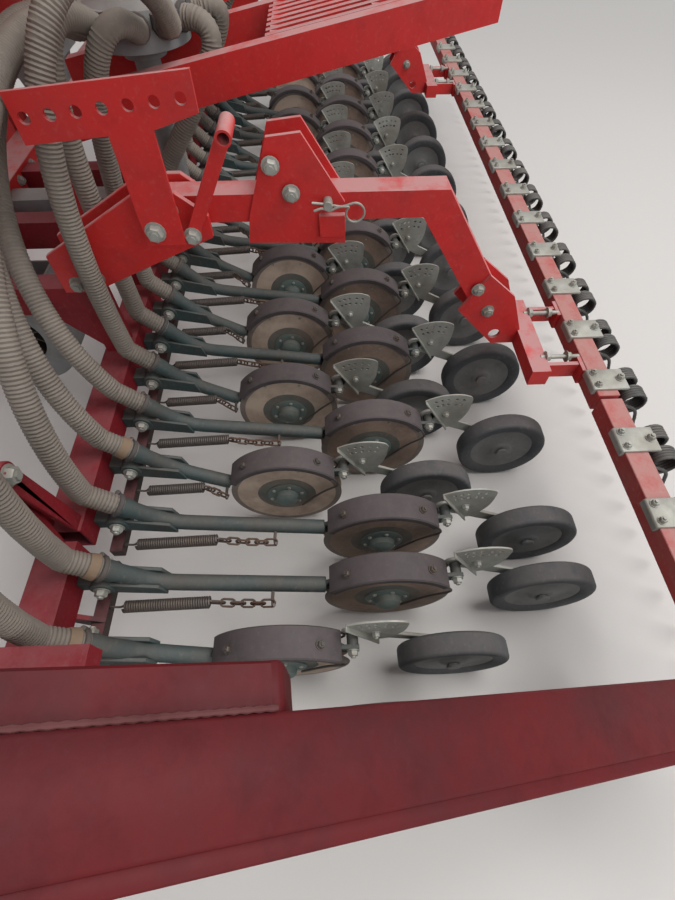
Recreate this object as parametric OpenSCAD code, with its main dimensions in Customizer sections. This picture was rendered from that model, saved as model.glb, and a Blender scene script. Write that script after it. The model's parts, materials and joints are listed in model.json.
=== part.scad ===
// Folding pneumatic seed drill, carried on a three-point linkage
// X runs along the working width, the tractor is at -Y, the harrow at +Y

/* [Rows] */
// Distance between neighbouring rows
row_pitch = 150; // [100:5:200]
// Rows on the middle section
mid_rows = 20; // [8:2:30]
// Rows on each end section
end_rows = 3; // [1:1:6]
// Radius of a coulter disc
disc_r = 155; // [120:1:200]
// Thickness of a coulter disc
disc_t = 3; // [2:0.5:6]
// Clear space between the two discs of a coulter
disc_gap = 24; // [18:1:40]
// Height of the disc centres
disc_z = 163; // [130:1:220]
// Place of the front row's discs along the machine
front_disc_y = 0; // [-100:5:100]
// Distance from the front row to the rear row
row_step = 255; // [200:5:400]
// Radius of a press wheel
press_r = 130; // [100:1:180]
// Width of a press wheel
press_w = 50; // [30:1:80]
// Distance from a disc centre to its press wheel
press_back = 400; // [320:5:500]

/* [Toolbar] */
// Size of the square toolbar
bar_s = 80; // [50:5:120]
// Place of the toolbar along the machine
bar_y = -470; // [-600:5:-300]
// Height of the toolbar's centre
bar_z = 345; // [300:5:600]
// Outer radius of a seed tube arm
arm_r = 21; // [10:1:25]
// Place of the end sections' hinges across the machine
fold_x = 1500; // [1200:10:1800]
// Height of the end sections' hinges
fold_z = 640; // [600:5:700]

/* [Frame] */
// Size of the front beam
front_s = 100; // [80:5:140]
// Place of the front beam along the machine
front_y = -880; // [-1000:5:-700]
// Height of the front beam's centre
front_z = 560; // [400:5:700]
// Half length of the front beam
front_half = 1350; // [1000:10:1500]

/* [Hopper] */
// Half length of the hopper
hopper_half = 1150; // [800:10:1300]
// Depth of the hopper from front to rear
hopper_d = 520; // [400:10:560]
// Place of the hopper's middle along the machine
hopper_y = -760; // [-765:1:-750]
// Height of the hopper's floor
hopper_z = 900; // [880:10:1000]
// Height of the hopper's walls
hopper_h = 620; // [450:10:800]
// Thickness of the hopper's walls
hopper_t = 6; // [3:1:12]

/* [Harrow] */
// Size of the harrow bar
harrow_s = 55; // [40:1:70]
// Place of the harrow bar along the machine
harrow_y = 835; // [825:5:950]
// Height of the harrow bar's centre
harrow_z = 405; // [380:5:450]
// Distance between tine pairs
tine_pitch = 190; // [150:1:190]
// How far the tine tips trail the harrow bar
tine_back = 223; // [150:1:300]
// Place of the harrow's joints across the machine
harrow_joint_x = 1200; // [1100:10:1300]
// Outer end of the harrow bar
harrow_end_x = 2010; // [1950:5:2050]
// Place of the harrow arms across the machine
arm_x = 900; // [895:1:905]
// Size of a harrow arm's square tube
arm_s = 60; // [40:5:80]
// Place of the harrow arms' pivots along the machine
lift_y = -220; // [-300:5:-150]
// Height of the harrow arms' pivots
lift_z = 790; // [750:5:850]
// Width of an end arm
end_arm_w = 100; // [60:5:120]
// Inner side of an end arm at the middle of the machine
end_arm_x = 1907; // [1900:2:1960]
// Angle of an end arm inwards, in degrees
end_arm_in = 5.1; // [0:0.2:12]
// Place of the end arms' pivots along the machine
end_lift_y = -300; // [-400:5:-200]
// Height of the end arms' pivots
end_lift_z = 985; // [900:5:1050]

/* [Stands] */
// Place of the parking stands across the machine
stand_x = 1150; // [800:10:1300]
// Size of a stand's square tube
stand_s = 60; // [40:5:80]

/* [Hidden] */
$fn = 48;
// Running fit between a pin and its bore
fit = 0.05;
// Clearance between pieces that slide or turn beside each other
play = 6;
// Clearance of a stand in its sleeve
slide_gap = 0.3;
lug_t = 12;
rows = mid_rows + 2 * end_rows;

// Coulters, seen from the disc centre in the YZ plane
pin_r = 10;
hub_r = 30;
hub_x = 34;
fender_in = disc_r + 11;
fender_t = 5;
fender_w = 80;
side_x = press_w / 2 + play;
side_t = 8;
link = [160, 85];
press_z = press_r;
press = [press_back, press_z - disc_z];

// Toolbar and frame
rear_face = bar_y + bar_s / 2;
// Boss on the toolbar, heel where the seed tube turns up, and the hose socket, in the YZ plane
boss = [bar_y + 90, bar_z - 20];
heel = [boss[0] + 104, boss[1] - 35];
socket = [heel[0] - 70, heel[1] + 72];
socket_h = 58;
arm_lean = (socket - heel) / norm(socket - heel);
hose_r = 25;
hose_steps = 8;
hook_bar = [bar_y + 70, bar_z - 95];
hook_s = 30;
spring_r = 11;
spring_l = 160;
spring_x = 56;
bar_end_x = 2015;
stay_places = [for (n = [-6, -4, -2, 2, 4, 6]) n * row_pitch];
post_x = 6 * row_pitch;
front_rail = front_y + front_s / 2;
front_face = front_y - front_s / 2;
hitch_y = front_face - 95;
hitch_front = hitch_y - 37;
lower_pin_z = front_z - 90;
top_pin_z = lower_pin_z + 555;
stud_x = 388;
stud_l = 72;
stud_r = 14;
top_bore_r = 12.75;
sleeve_half = stand_s / 2 + slide_gap;
stand_y = front_face - 45;

// Hopper and air system
hopper_front = hopper_y - hopper_d / 2;
hopper_rear = hopper_y + hopper_d / 2;
rim_z = hopper_z + hopper_h;
lid_z = rim_z + play;
hinge_y = hopper_front - 22;
hinge_z = lid_z + 6;
hinge_places = [-900, 0, 900];
tower_x = 3 * row_pitch;
riser_r = 32;
head_y = hopper_rear + 200;
head_z = 955;
head_r = 120;
head_h = 100;
// Outlets counted from the row farthest out: direction, shift in X and lift of the hose's bend
outlets = [[180, 0, 80], [125, 0, 120], [-125, 20, 120], [-42, 0, -330], [-69, 0, -230], [-97, 0, -60],
    [42, 45, 260], [-14, -10, 60], [14, 0, 60], [69, 0, -200], [97, -40, -200], [152, 0, 0], [-152, 0, 0]];
beam_places = [2 * row_pitch, 4 * row_pitch];
platform_front = hopper_rear - 60;
platform_end = 520;
platform_low = hopper_z - 100;
platform_post = 60;
fan_x = 640;
fan_y = front_y + 10;
fan_z = front_z - 260;

// Harrow
coil_r = 30;
lift_pin_r = 15;
cheek_x = arm_x + arm_s / 2 + play + lug_t;
plate_x = cheek_x + 56;
crank_x = cheek_x + 36;
end_pivot_x = end_arm_x + 60;
end_box_x = row_pitch * 11.75;
end_clear_x = end_arm_x - (harrow_y + 40) * tan(end_arm_in);

// Place of a row across the machine, counted from the +X end
function row_x(k) = ((rows - 1) / 2 - k) * row_pitch;
// On each section the rows stand by turns in the rear and in the front row
function is_rear(k) = k < end_rows ? k % 2 == 0 : (k - end_rows) % 2 == 0;
function disc_y(k) = front_disc_y + (is_rear(k) ? row_step : 0);
function row_list(part, rear) = [for (k = [part[0]:part[1]]) if (is_rear(k) == rear) k];

// First and last row of each section
near = [0, end_rows - 1];
mid = [end_rows, end_rows + mid_rows - 1];
far = [end_rows + mid_rows, rows - 1];

bright_red = [0.78, 0.12, 0.12];
dusty_red = [0.62, 0.25, 0.25];
dark_red = [0.42, 0.12, 0.14];
teal = [0.17, 0.26, 0.26];
fender_grey = [0.32, 0.28, 0.28];
light_grey = [0.62, 0.62, 0.58];
rubber = [0.16, 0.17, 0.19];
disc_tan = [0.55, 0.48, 0.42];
spring_grey = [0.22, 0.22, 0.23];
hose_grey = [0.47, 0.42, 0.38];

// Box given by its lowest corner and its highest corner
module span(a, b) translate(a) cube(b - a);

// Cylinder along X from x0 to x1
module x_rod(x0, x1, y, z, r) translate([x0, y, z]) rotate([0, 90, 0]) cylinder(h = x1 - x0, r = r);

// Cylinder along Y from y0 to y1
module y_rod(y0, y1, x, z, r) translate([x, y0, z]) rotate([-90, 0, 0]) cylinder(h = y1 - y0, r = r);

// Cylinder in a plane x = const, from a to b given as [y, z]
module yz_rod(x, a, b, r) {
    d = b - a;
    translate([x, a[0], a[1]]) rotate([-atan2(d[0], d[1]), 0, 0]) cylinder(h = norm(d), r = r);
}

// Plate drawn in the YZ plane, from x0 to x1
module yz_plate(x0, x1) translate([x0, 0, 0]) rotate([90, 0, 90]) linear_extrude(x1 - x0) children();

// Plate drawn in the XZ plane, from y0 to y1
module xz_plate(y0, y1) translate([0, y1, 0]) rotate([90, 0, 0]) linear_extrude(y1 - y0) children();

module both_sides() {
    children();
    mirror([1, 0, 0]) children();
}

// Its children stand at the disc centre of each row of a section
module at_rows(part) for (k = [part[0]:part[1]]) translate([row_x(k), disc_y(k), disc_z]) children();

// Seed tube with its raised neck, toolbar bracket, spring, hanger plate and disc pin,
// drawn about the disc centre
module coulter_arm(dy) {
    centre = [dy, disc_z];
    tip = [-disc_r - arm_r + 4, 66];
    top = socket + socket_h * arm_lean;
    root = heel - centre;
    yz_rod(0, root, tip, arm_r);
    yz_rod(0, root, socket - centre, arm_r);
    translate([0, root[0], root[1]]) sphere(r = arm_r + 1);
    yz_rod(0, socket - centre, top - centre, arm_r + 5);
    // Flat brackets from the boss to the heel
    for (x = [-24, 16]) yz_plate(x, x + 8) polygon([boss + [-10, -22] - centre, boss + [-4, 22] - centre,
        heel + [14, 24] - centre, heel + [24, -16] - centre]);
    x_rod(-28, 28, boss[0] - dy, boss[1] - disc_z, 26);
    span([-20, rear_face - dy, boss[1] - 18 - disc_z], [20, boss[0] - dy, boss[1] + 18 - disc_z]);
    // Hanger plate between the discs
    yz_plate(-5, 5) {
        polygon([tip + [-10, -12], tip + [-10, 12], [-112, 100], [-100, 90]]);
        intersection() {
            circle(r = fender_in);
            polygon([[-190, 40], [-110, 170], [90, 170], [100, 100], [22, -28], [-22, -28]]);
        }
        polygon([[55, 62], link + [14, -14], link + [14, 12], [70, 100]]);
    }
    x_rod(-29, 29, 0, 0, pin_r);
    x_rod(-side_x, 5, link[0], link[1], 13);
    // Coil spring from the hook bar and its chain to a lug on the tube
    hook = [hook_bar[0] + hook_s / 2 + 0.3 - dy, hook_bar[1] + 4 - disc_z];
    start = hook + [34, 8];
    finish = start + [spring_l, 8];
    lug = dy > 0 ? root + 0.72 * (tip - root) : tip + [-6, 2];
    yz_rod(-spring_x, hook, finish, 4);
    yz_rod(-spring_x, start, finish, spring_r);
    yz_rod(-spring_x, finish - [2, 0], lug, 5);
    x_rod(-spring_x - 8, 0, lug[0], lug[1], 7);
}

module coulter_arms_of(part) color(teal)
    for (k = [part[0]:part[1]]) translate([row_x(k), disc_y(k), disc_z]) coulter_arm(disc_y(k));

// Curved strip over the discs, with turned-down side edges
module fender() {
    yz_plate(-fender_w / 2, fender_w / 2) fender_arc(fender_in, fender_in + fender_t);
    for (x = [-fender_w / 2, fender_w / 2 - 4])
        yz_plate(x, x + 4) fender_arc(fender_in - 16, fender_in + fender_t);
}

module fender_arc(r0, r1) difference() {
    circle(r = r1);
    circle(r = r0);
    polygon([[0, 0], [-430, 330], [-600, 430], [-600, -600], [600, -600], [600, 560], [480, 480]]);
}

module fenders_of(part) color(fender_grey) at_rows(part) fender();

// Side arm of a press wheel with its pin, its cap and its perforated depth plate
module press_arm() {
    run = press - link;
    yz_plate(-side_x - side_t, -side_x) {
        translate(link) circle(r = 24);
        translate(link) rotate(atan2(run[1], run[0])) translate([0, -17]) square([norm(run), 34]);
        translate(press) circle(r = 22);
    }
    // Plate with a row of holes along its curved edge and a flange on top
    yz_plate(-side_x, -side_x + 4) difference() {
        polygon([link + [10, 16], link + [84, -10], link + [92, 50], link + [60, 78], link + [6, 84],
            link + [-22, 40]]);
        for (i = [0:4]) translate(link + [8 + 16 * i, 66 - 3 * i * i]) circle(r = 4);
        for (i = [0:3]) translate(link + [20 + 15 * i, 44 - 3 * i * i]) circle(r = 4);
    }
    span([-side_x - 14, link[0] + 6, link[1] + 80], [-side_x + 4, link[0] + 56, link[1] + 84]);
    x_rod(-side_x, press_w / 2 + play, press[0], press[1], pin_r);
    x_rod(press_w / 2 + 2, press_w / 2 + play, press[0], press[1], 17);
}

module press_arms_of(part) color(light_grey) at_rows(part) press_arm();

// Two thin discs with their hubs
module disc_pair() both_sides() difference() {
    union() {
        x_rod(disc_gap / 2, disc_gap / 2 + disc_t, 0, 0, disc_r);
        x_rod(disc_gap / 2 + disc_t, hub_x, 0, 0, hub_r);
    }
    x_rod(0, 30, 0, 0, pin_r + fit);
}

module discs_of(part, rear) color(disc_tan)
    for (k = row_list(part, rear)) translate([row_x(k), disc_y(k), disc_z]) disc_pair();

// Rubber ring with rounded shoulders over a dished disc, turned about X
module press_wheel() rotate([0, 90, 0]) rotate_extrude($fn = 64) difference() {
    half = press_w / 2;
    union() {
        translate([pin_r + fit, -20]) square([18, 40]);
        translate([pin_r + fit, -6]) square([press_r - 40, 12]);
        translate([press_r - 34, -half + 2]) square([22, press_w - 4]);
        translate([press_r - 14, -half + 12]) square([14, press_w - 24]);
        for (side = [-1, 1]) translate([press_r - 12, side * (half - 12)]) circle(r = 12);
    }
}

module press_wheels_of(part, rear) color(rubber)
    for (k = row_list(part, rear)) translate([row_x(k), disc_y(k) + press_back, press_z]) press_wheel();

// Square tube of the toolbar
module bar_between(x0, x1) difference() {
    span([x0, bar_y - bar_s / 2, bar_z - bar_s / 2], [x1, bar_y + bar_s / 2, bar_z + bar_s / 2]);
    span([x0 - 1, bar_y - bar_s / 2 + 6, bar_z - bar_s / 2 + 6],
        [x1 + 1, bar_y + bar_s / 2 - 6, bar_z + bar_s / 2 - 6]);
}

// Bar that the springs hook on, below the toolbar's rear edge, with its hangers
module hook_rail(x0, x1, places) {
    half = hook_s / 2;
    span([x0, hook_bar[0] - half, hook_bar[1] - half], [x1, hook_bar[0] + half, hook_bar[1] + half]);
    for (x = places) yz_plate(x - 5, x + 5) polygon([[bar_y, bar_z - bar_s / 2], [rear_face, bar_z - bar_s / 2],
        hook_bar + [half, half], hook_bar + [half, -half], hook_bar + [-half, -half]]);
}

// Middle toolbar with the fork of each fold hinge and the stays up to the frame
module toolbar() color(dark_red) {
    bar_between(-fold_x + 12, fold_x - 12);
    hook_rail(-fold_x + 12, fold_x - 12, [for (n = [-4:4]) 2 * n * row_pitch]);
    both_sides() for (y = [bar_y - 34, bar_y + 34 - lug_t]) {
        xz_plate(y, y + lug_t) difference() {
            union() {
                polygon([[fold_x - 50, bar_z + bar_s / 2], [fold_x - 12, bar_z + bar_s / 2],
                    [fold_x + 22, fold_z], [fold_x - 22, fold_z]]);
                translate([fold_x, fold_z]) circle(r = 26);
            }
            translate([fold_x, fold_z]) circle(r = lift_pin_r + fit);
        }
    }
    for (x = stay_places) {
        span([x - 30, front_rail, front_z - 40], [x + 30, bar_y + 30, front_z + 40]);
        span([x - 30, bar_y - 30, bar_z + bar_s / 2], [x + 30, bar_y + 30, front_z - 40]);
        for (side = [-24, 18]) yz_plate(x + side, x + side + 6) polygon([[bar_y - 30, front_z - 40],
            [bar_y - 130, front_z - 40], [bar_y - 30, bar_z + bar_s / 2 + 20]]);
    }
}

// Toolbar of the +X end section with its hinge lug and pin and the bracket of the end arm
module end_toolbar() color(dark_red) {
    bar_between(fold_x + 12, bar_end_x);
    hook_rail(fold_x + 12, bar_end_x - 60, [11 * row_pitch, 12 * row_pitch]);
    xz_plate(bar_y - 15, bar_y + 15) {
        polygon([[fold_x + 12, bar_z + bar_s / 2], [fold_x + 50, bar_z + bar_s / 2],
            [fold_x + 22, fold_z], [fold_x - 22, fold_z]]);
        translate([fold_x, fold_z]) circle(r = 26);
    }
    y_rod(bar_y - 40, bar_y + 40, fold_x, fold_z, lift_pin_r);
    for (x = [end_pivot_x - 46, end_pivot_x + 34]) yz_plate(x, x + lug_t) {
        polygon([[bar_y - 40, bar_z + bar_s / 2], [bar_y + 40, bar_z + bar_s / 2],
            [end_lift_y + 40, end_lift_z], [end_lift_y - 40, end_lift_z]]);
        translate([end_lift_y, end_lift_z]) circle(r = 45);
    }
    x_rod(end_pivot_x - 46, end_pivot_x + 46, end_lift_y, end_lift_z, lift_pin_r);
    // Bracket between the last two coulters
    yz_plate(end_box_x, end_box_x + 38) polygon([[bar_y - 40, bar_z + bar_s / 2], [bar_y + 40, bar_z + bar_s / 2],
        [bar_y + 200, bar_z + 150], [bar_y + 200, bar_z + 200], [bar_y - 10, bar_z + 200]]);
}

// Arm that carries the harrow's outer section, with a raised plate on its inner side
module end_arm() color(dark_red) {
    harrow_top = harrow_z + harrow_s / 2;
    pivot = [end_lift_y, end_lift_z];
    difference() {
        union() {
            x_rod(end_pivot_x - 28, end_pivot_x + 28, end_lift_y, end_lift_z, 40);
            translate([end_arm_x, 0, 0]) rotate([0, 0, end_arm_in]) {
                yz_plate(0, end_arm_w) polygon([pivot + [55, -55], pivot + [55, 45], pivot + [85, 45],
                    [harrow_y + 10, harrow_top + 7], [harrow_y + 10, harrow_top], [harrow_y - 95, harrow_top]]);
                yz_plate(-44, 0) {
                    polygon([pivot + [65, -60], pivot + [65, 25], pivot + [120, 15], pivot + [320, -85],
                        pivot + [320, -185]]);
                    translate(pivot + [320, -135]) circle(r = 52);
                }
            }
            span([end_pivot_x - 28, end_lift_y, end_lift_z - 40],
                [end_pivot_x + 28, end_lift_y + 80, end_lift_z + 40]);
        }
        x_rod(end_pivot_x - 60, end_pivot_x + 60, end_lift_y, end_lift_z, lift_pin_r + fit);
    }
}

module main_frame() color(bright_red) {
    difference() {
        span([-front_half, front_face, front_z - front_s / 2], [front_half, front_rail, front_z + front_s / 2]);
        span([-front_half - 1, front_face + 8, front_z - front_s / 2 + 8],
            [front_half + 1, front_rail - 8, front_z + front_s / 2 - 8]);
    }
    // Posts under the hopper, with gussets
    for (x = [-post_x, post_x]) {
        span([x - 40, front_y - 40, front_z + front_s / 2], [x + 40, front_y + 40, hopper_z - 8]);
        yz_plate(x - 6, x + 6) polygon([[front_y + 40, front_z + front_s / 2 + 10], [front_y + 40, hopper_z - 8],
            [hopper_y + 110, hopper_z - 8]]);
        span([x - 60, front_y - 40, hopper_z - 8], [x + 60, hopper_y + 115, hopper_z]);
    }
    // Sleeves of the parking stands
    both_sides() difference() {
        span([stand_x - 45, front_face - 90, front_z - 60], [stand_x + 45, front_face, front_z + 60]);
        span([stand_x - sleeve_half, stand_y - sleeve_half, front_z - 61],
            [stand_x + sleeve_half, stand_y + sleeve_half, front_z + 61]);
    }
}

module stand() color(light_grey) {
    half = stand_s / 2;
    span([stand_x - half, stand_y - half, 12], [stand_x + half, stand_y + half, front_z + 90]);
    span([stand_x - 80, stand_y - 55, 0], [stand_x + 80, stand_y + 55, 12]);
}

module headstock() color(bright_red) {
    for (x = [-60, 40]) yz_plate(x, x + 20) difference() {
        polygon([[front_face, front_z - 50], [front_face, front_z + 50], [front_face - 30, top_pin_z + 35],
            [hitch_front, top_pin_z + 35], [hitch_front, top_pin_z - 40], [front_face - 60, front_z - 50]]);
        translate([hitch_y, top_pin_z]) circle(r = top_bore_r);
    }
    both_sides() {
        for (x = [stud_x - 70, stud_x - 16]) yz_plate(x, x + 16)
            polygon([[front_face, front_z - 50], [front_face, front_z + 50], [hitch_front, lower_pin_z + 40],
                [hitch_front, lower_pin_z - 40], [front_face - 40, lower_pin_z - 40]]);
        x_rod(stud_x - 80, stud_x + stud_l, hitch_y, lower_pin_z, stud_r);
    }
}

// Outline of the hopper in the YZ plane, drawn in by a wall thickness
module hopper_outline(inset) {
    floor_half = 120 - inset;
    top = rim_z + (inset > 0 ? 1 : 0);
    polygon([[hopper_y - floor_half, hopper_z + inset], [hopper_y + floor_half, hopper_z + inset],
        [hopper_rear - inset, hopper_z + 330], [hopper_rear - inset, top],
        [hopper_front + inset, top], [hopper_front + inset, hopper_z + 330]]);
}

// Hopper with a folded rim, ribs on its walls and the lugs and pins of the lid's hinges
module hopper() color(bright_red) {
    difference() {
        yz_plate(-hopper_half, hopper_half) hopper_outline(0);
        yz_plate(-hopper_half + hopper_t, hopper_half - hopper_t) hopper_outline(hopper_t);
    }
    for (x = [-750, -375, 0, 375, 750])
        span([x - 20, hopper_rear, hopper_z + 335], [x + 20, hopper_rear + 10, rim_z - 30]);
    span([-hopper_half, hopper_rear, rim_z - 30], [hopper_half, hopper_rear + 10, rim_z]);
    for (x = hinge_places) {
        for (side = [-30, 20]) yz_plate(x + side, x + side + 10)
            polygon([[hopper_front, rim_z - 60], [hopper_front, rim_z], [hinge_y + 8, hinge_z + 8],
                [hinge_y - 8, hinge_z + 8], [hinge_y - 8, hinge_z - 8]]);
        x_rod(x - 30, x + 30, hinge_y, hinge_z, 5);
    }
}

module hopper_lid() color(bright_red) {
    span([-hopper_half - 12, hopper_front - 4, lid_z], [hopper_half + 12, hopper_rear + 28, lid_z + 12]);
    span([-hopper_half - 12, hopper_rear + 20, lid_z - 24], [hopper_half + 12, hopper_rear + 28, lid_z]);
    for (x = [-562, 0, 562]) span([x - 30, hopper_front + 30, lid_z + 12], [x + 30, hopper_rear - 30, lid_z + 20]);
    for (x = hinge_places) difference() {
        union() {
            x_rod(x - 14, x + 14, hinge_y, hinge_z, 12);
            span([x - 14, hinge_y, lid_z], [x + 14, hopper_front, lid_z + 12]);
        }
        x_rod(x - 15, x + 15, hinge_y, hinge_z, 5 + fit);
    }
}

module metering_box() color(light_grey) {
    span([-160, hopper_y - 60, hopper_z - 110], [160, hopper_y + 60, hopper_z]);
    x_rod(-200, -160, hopper_y, hopper_z - 60, 22);
    // Injector under the rotor with a spout to each side
    yz_plate(-120, 120) polygon([[hopper_y - 50, hopper_z - 110], [hopper_y + 50, hopper_z - 110],
        [hopper_y + 25, hopper_z - 190], [hopper_y - 25, hopper_z - 190]]);
}

// Two riser pipes, each with a round head and one outlet for each of its hoses
module distributor() color(light_grey) for (x = [-tower_x, tower_x]) {
    span([x - riser_r - 4, front_rail, front_z - 30], [x + riser_r + 4, head_y + 30, front_z + 30]);
    translate([x, head_y, front_z + 30]) cylinder(h = head_z - front_z - 30, r = riser_r);
    translate([x, head_y, head_z - 30]) cylinder(h = 30, r = 52);
    translate([x, head_y, head_z]) cylinder(h = head_h - 25, r = head_r);
    translate([x, head_y, head_z + head_h - 25]) cylinder(h = 25, r1 = head_r - 10, r2 = 60);
}

// Fan casing with its inlet, its outlet neck and the shaft
module fan_housing() color(light_grey) {
    difference() {
        union() {
            x_rod(fan_x, fan_x + 130, fan_y, fan_z, 180);
            span([fan_x, fan_y + 60, fan_z], [fan_x + 130, fan_y + 180, front_z - front_s / 2 - 20]);
            span([fan_x + 30, fan_y - 50, fan_z + 170], [fan_x + 100, fan_y + 30, front_z - front_s / 2]);
        }
        x_rod(fan_x + 6, fan_x + 124, fan_y, fan_z, 172);
        x_rod(fan_x + 120, fan_x + 131, fan_y, fan_z, 95);
        span([fan_x + 6, fan_y + 66, fan_z + 1], [fan_x + 124, fan_y + 174, front_z - front_s / 2]);
    }
    x_rod(fan_x + 6, fan_x + 100, fan_y, fan_z, 12);
}

module fan_rotor() color(spring_grey) difference() {
    union() {
        x_rod(fan_x + 20, fan_x + 100, fan_y, fan_z, 45);
        x_rod(fan_x + 20, fan_x + 25, fan_y, fan_z, 160);
        for (i = [0:11]) translate([0, fan_y, fan_z]) rotate([i * 30, 0, 0])
            span([fan_x + 25, -2, 40], [fan_x + 100, 2, 160]);
    }
    x_rod(fan_x, fan_x + 130, fan_y, fan_z, 12 + fit);
}

// Height of the inclined beams' upper side
function beam_top(y) = hopper_z - 20 + 0.19 * (y - platform_front);

// Boarding platform: inclined beams on posts, with a grating of slats between each pair
module platform() color(bright_red) both_sides() {
    for (x = beam_places) {
        yz_plate(x - 20, x + 20) polygon([[platform_front, platform_low],
            [platform_front, beam_top(platform_front)], [platform_end, beam_top(platform_end)],
            [platform_end, beam_top(platform_end) - 70],
            [platform_front + platform_post * 1.5, platform_low]]);
        span([x - 20, platform_front, front_z + 40], [x + 20, platform_front + platform_post, platform_low + 40]);
    }
    for (y = [40, 270, platform_end - 40])
        span([beam_places[0], y - 20, beam_top(y) - 34], [beam_places[1], y + 20, beam_top(y) - 4]);
    for (x = [beam_places[0] + 42:36:beam_places[1] - 30]) yz_plate(x, x + 20) polygon([[10, beam_top(10) - 8],
        [10, beam_top(10)], [platform_end, beam_top(platform_end)], [platform_end, beam_top(platform_end) - 8]]);
}

// Perforated plates that set the coulters' pressure, on pins beside the harrow brackets
module pressure_plates() color(bright_red) both_sides() {
    translate([0, lift_y, lift_z]) yz_plate(plate_x, plate_x + 8) difference() {
        polygon([[-25, -30], [55, -30], [55, 185], [140, 210], [140, 272], [-175, 246], [-175, 166], [-25, 178]]);
        for (i = [0:6]) translate([-155 + 45 * i, 208 + 4 * i]) circle(r = 10);
    }
    x_rod(cheek_x, plate_x, lift_y, lift_z, 14);
}

// Crank on the +X harrow bracket
module crank_handle() color(bright_red) translate([0, lift_y, lift_z]) {
    x_rod(cheek_x, crank_x, 70, -20, 12);
    yz_plate(crank_x, crank_x + lug_t) polygon([[55, -40], [80, -45], [230, 210], [206, 220]]);
    x_rod(cheek_x + 8, crank_x + lug_t, 220, 220, 14);
}

// Brackets on the stays that hold the harrow arms' pins
module harrow_brackets() color(bright_red) both_sides() {
    inner = arm_s / 2 + play;
    for (x = [arm_x - inner - lug_t, arm_x + inner]) yz_plate(x, x + lug_t)
        polygon([[bar_y - 40, front_z + 40], [bar_y + 30, front_z + 40], [lift_y + 100, lift_z - 55],
            [lift_y + 100, lift_z - 5],
            [lift_y + 40, lift_z + 45], [lift_y - 45, lift_z + 45], [bar_y - 40, front_z + 140]]);
    x_rod(arm_x - inner - lug_t, arm_x + inner + lug_t, lift_y, lift_z, lift_pin_r);
    span([arm_x - inner, bar_y - 40, front_z + 40], [arm_x + inner, bar_y + 30, front_z + 60]);
}

// Cranked tubes of the middle harrow with their pivot plates, adjusting plates, cross tubes and links
module harrow_arms() color(bright_red) both_sides() difference() {
    half = arm_s / 2;
    cross_y = harrow_y - 170;
    pivot = [lift_y, lift_z];
    foot = [cross_y - 65, harrow_z];
    union() {
        yz_plate(arm_x - half, arm_x + half)
            polygon([pivot + [-32, -half], pivot + [572, -half], foot + [-45, 50], foot + [10, 50],
                foot + [20, 85], pivot + [622, half], pivot + [-32, half]]);
        for (x = [arm_x - half - 10, arm_x + half]) yz_plate(x, x + 10) {
            polygon([pivot + [177, -74], pivot + [186, -15], pivot + [240, 142], pivot + [308, 149],
                pivot + [395, 13], pivot + [396, -80]]);
            difference() {
                polygon([foot + [-118, 100], foot + [-58, 205], foot + [22, 140], foot + [69, 30],
                    foot + [69, -20], foot + [0, -20]]);
                translate(foot + [0, 15]) circle(r = 16);
            }
        }
        x_rod(arm_x - half - 20, arm_x + half + 20, lift_y + 245, lift_z + 95, 11);
        x_rod(arm_x - half - 20, arm_x + half + 20, lift_y + 282, lift_z + 40, 11);
        span([arm_x - 90, cross_y, harrow_z - 25], [arm_x + 200, cross_y + 50, harrow_z + 25]);
        for (x = [arm_x - 60, arm_x + 164])
            span([x, cross_y + 50, harrow_z - 22], [x + 12, harrow_y - harrow_s / 2, harrow_z + 22]);
        for (x = [arm_x - 80, arm_x + 140])
            translate([0, harrow_y - harrow_s / 2]) span([x, -10, harrow_z - 25], [x + 60, 0, harrow_z + 25]);
    }
    x_rod(arm_x - 60, arm_x + 60, lift_y, lift_z, lift_pin_r + fit);
}

module harrow_tube(x0, x1) color(dusty_red) {
    half = harrow_s / 2;
    span([x0, harrow_y - half, harrow_z - half], [x1, harrow_y + half, harrow_z + half]);
}

// One coil, a ring whose wavy outside stands for the turns of its wire
module tine_coil(turn = 7.4) rotate([0, 90, 0]) rotate_extrude() polygon(concat([[coil_r - 5, 0], [coil_r - 5, 5 * turn]],
    [for (i = [4:-1:0]) each [[coil_r + 2, turn * (i + 1)], [coil_r + 5, turn * i + 5.6],
        [coil_r + 5, turn * i + 1.8]]],
    [[coil_r + 2, 0]]));

// Two coil tines with their clamp, drawn about the bar's centre
module tine_pair() {
    face = harrow_s / 2;
    coil_y = face + coil_r + 8;
    span([-34, -face - 8, face], [34, face + 24, face + 8]);
    span([-34, -face - 8, face - 16], [34, -face, face]);
    for (y = [-face - 4, face + 12]) translate([0, y, face + 8]) cylinder(h = 10, r = 8, $fn = 6);
    span([-8, face + 8, -16], [8, face + 20, face]);
    for (x = [-51.6, 14]) {
        translate([x, coil_y, -12]) tine_coil();
        yz_rod(x + 18.8, [coil_y + coil_r, -12], [tine_back, 36 - harrow_z], 4);
    }
    x_rod(-16, 16, face + 14, -12, 4.5);
}

// Places of the tine pairs on the middle bar and on an end bar
mid_tines = floor((harrow_joint_x - 40) / tine_pitch);
end_tines = floor((end_clear_x - 40) / tine_pitch);
mid_places = [for (i = [-mid_tines:mid_tines]) i * tine_pitch];
end_places = concat([for (i = [mid_tines + 1:end_tines]) i * tine_pitch], [harrow_end_x - 36]);

module tines_at(places) color(spring_grey) for (x = places) translate([x, harrow_y, harrow_z]) tine_pair();

// Point of a curve through four control points
function curve(t, p) = let (u = 1 - t) u * u * u * p[0] + 3 * t * u * u * p[1] + 3 * t * t * u * p[2] + t * t * t * p[3];

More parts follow.
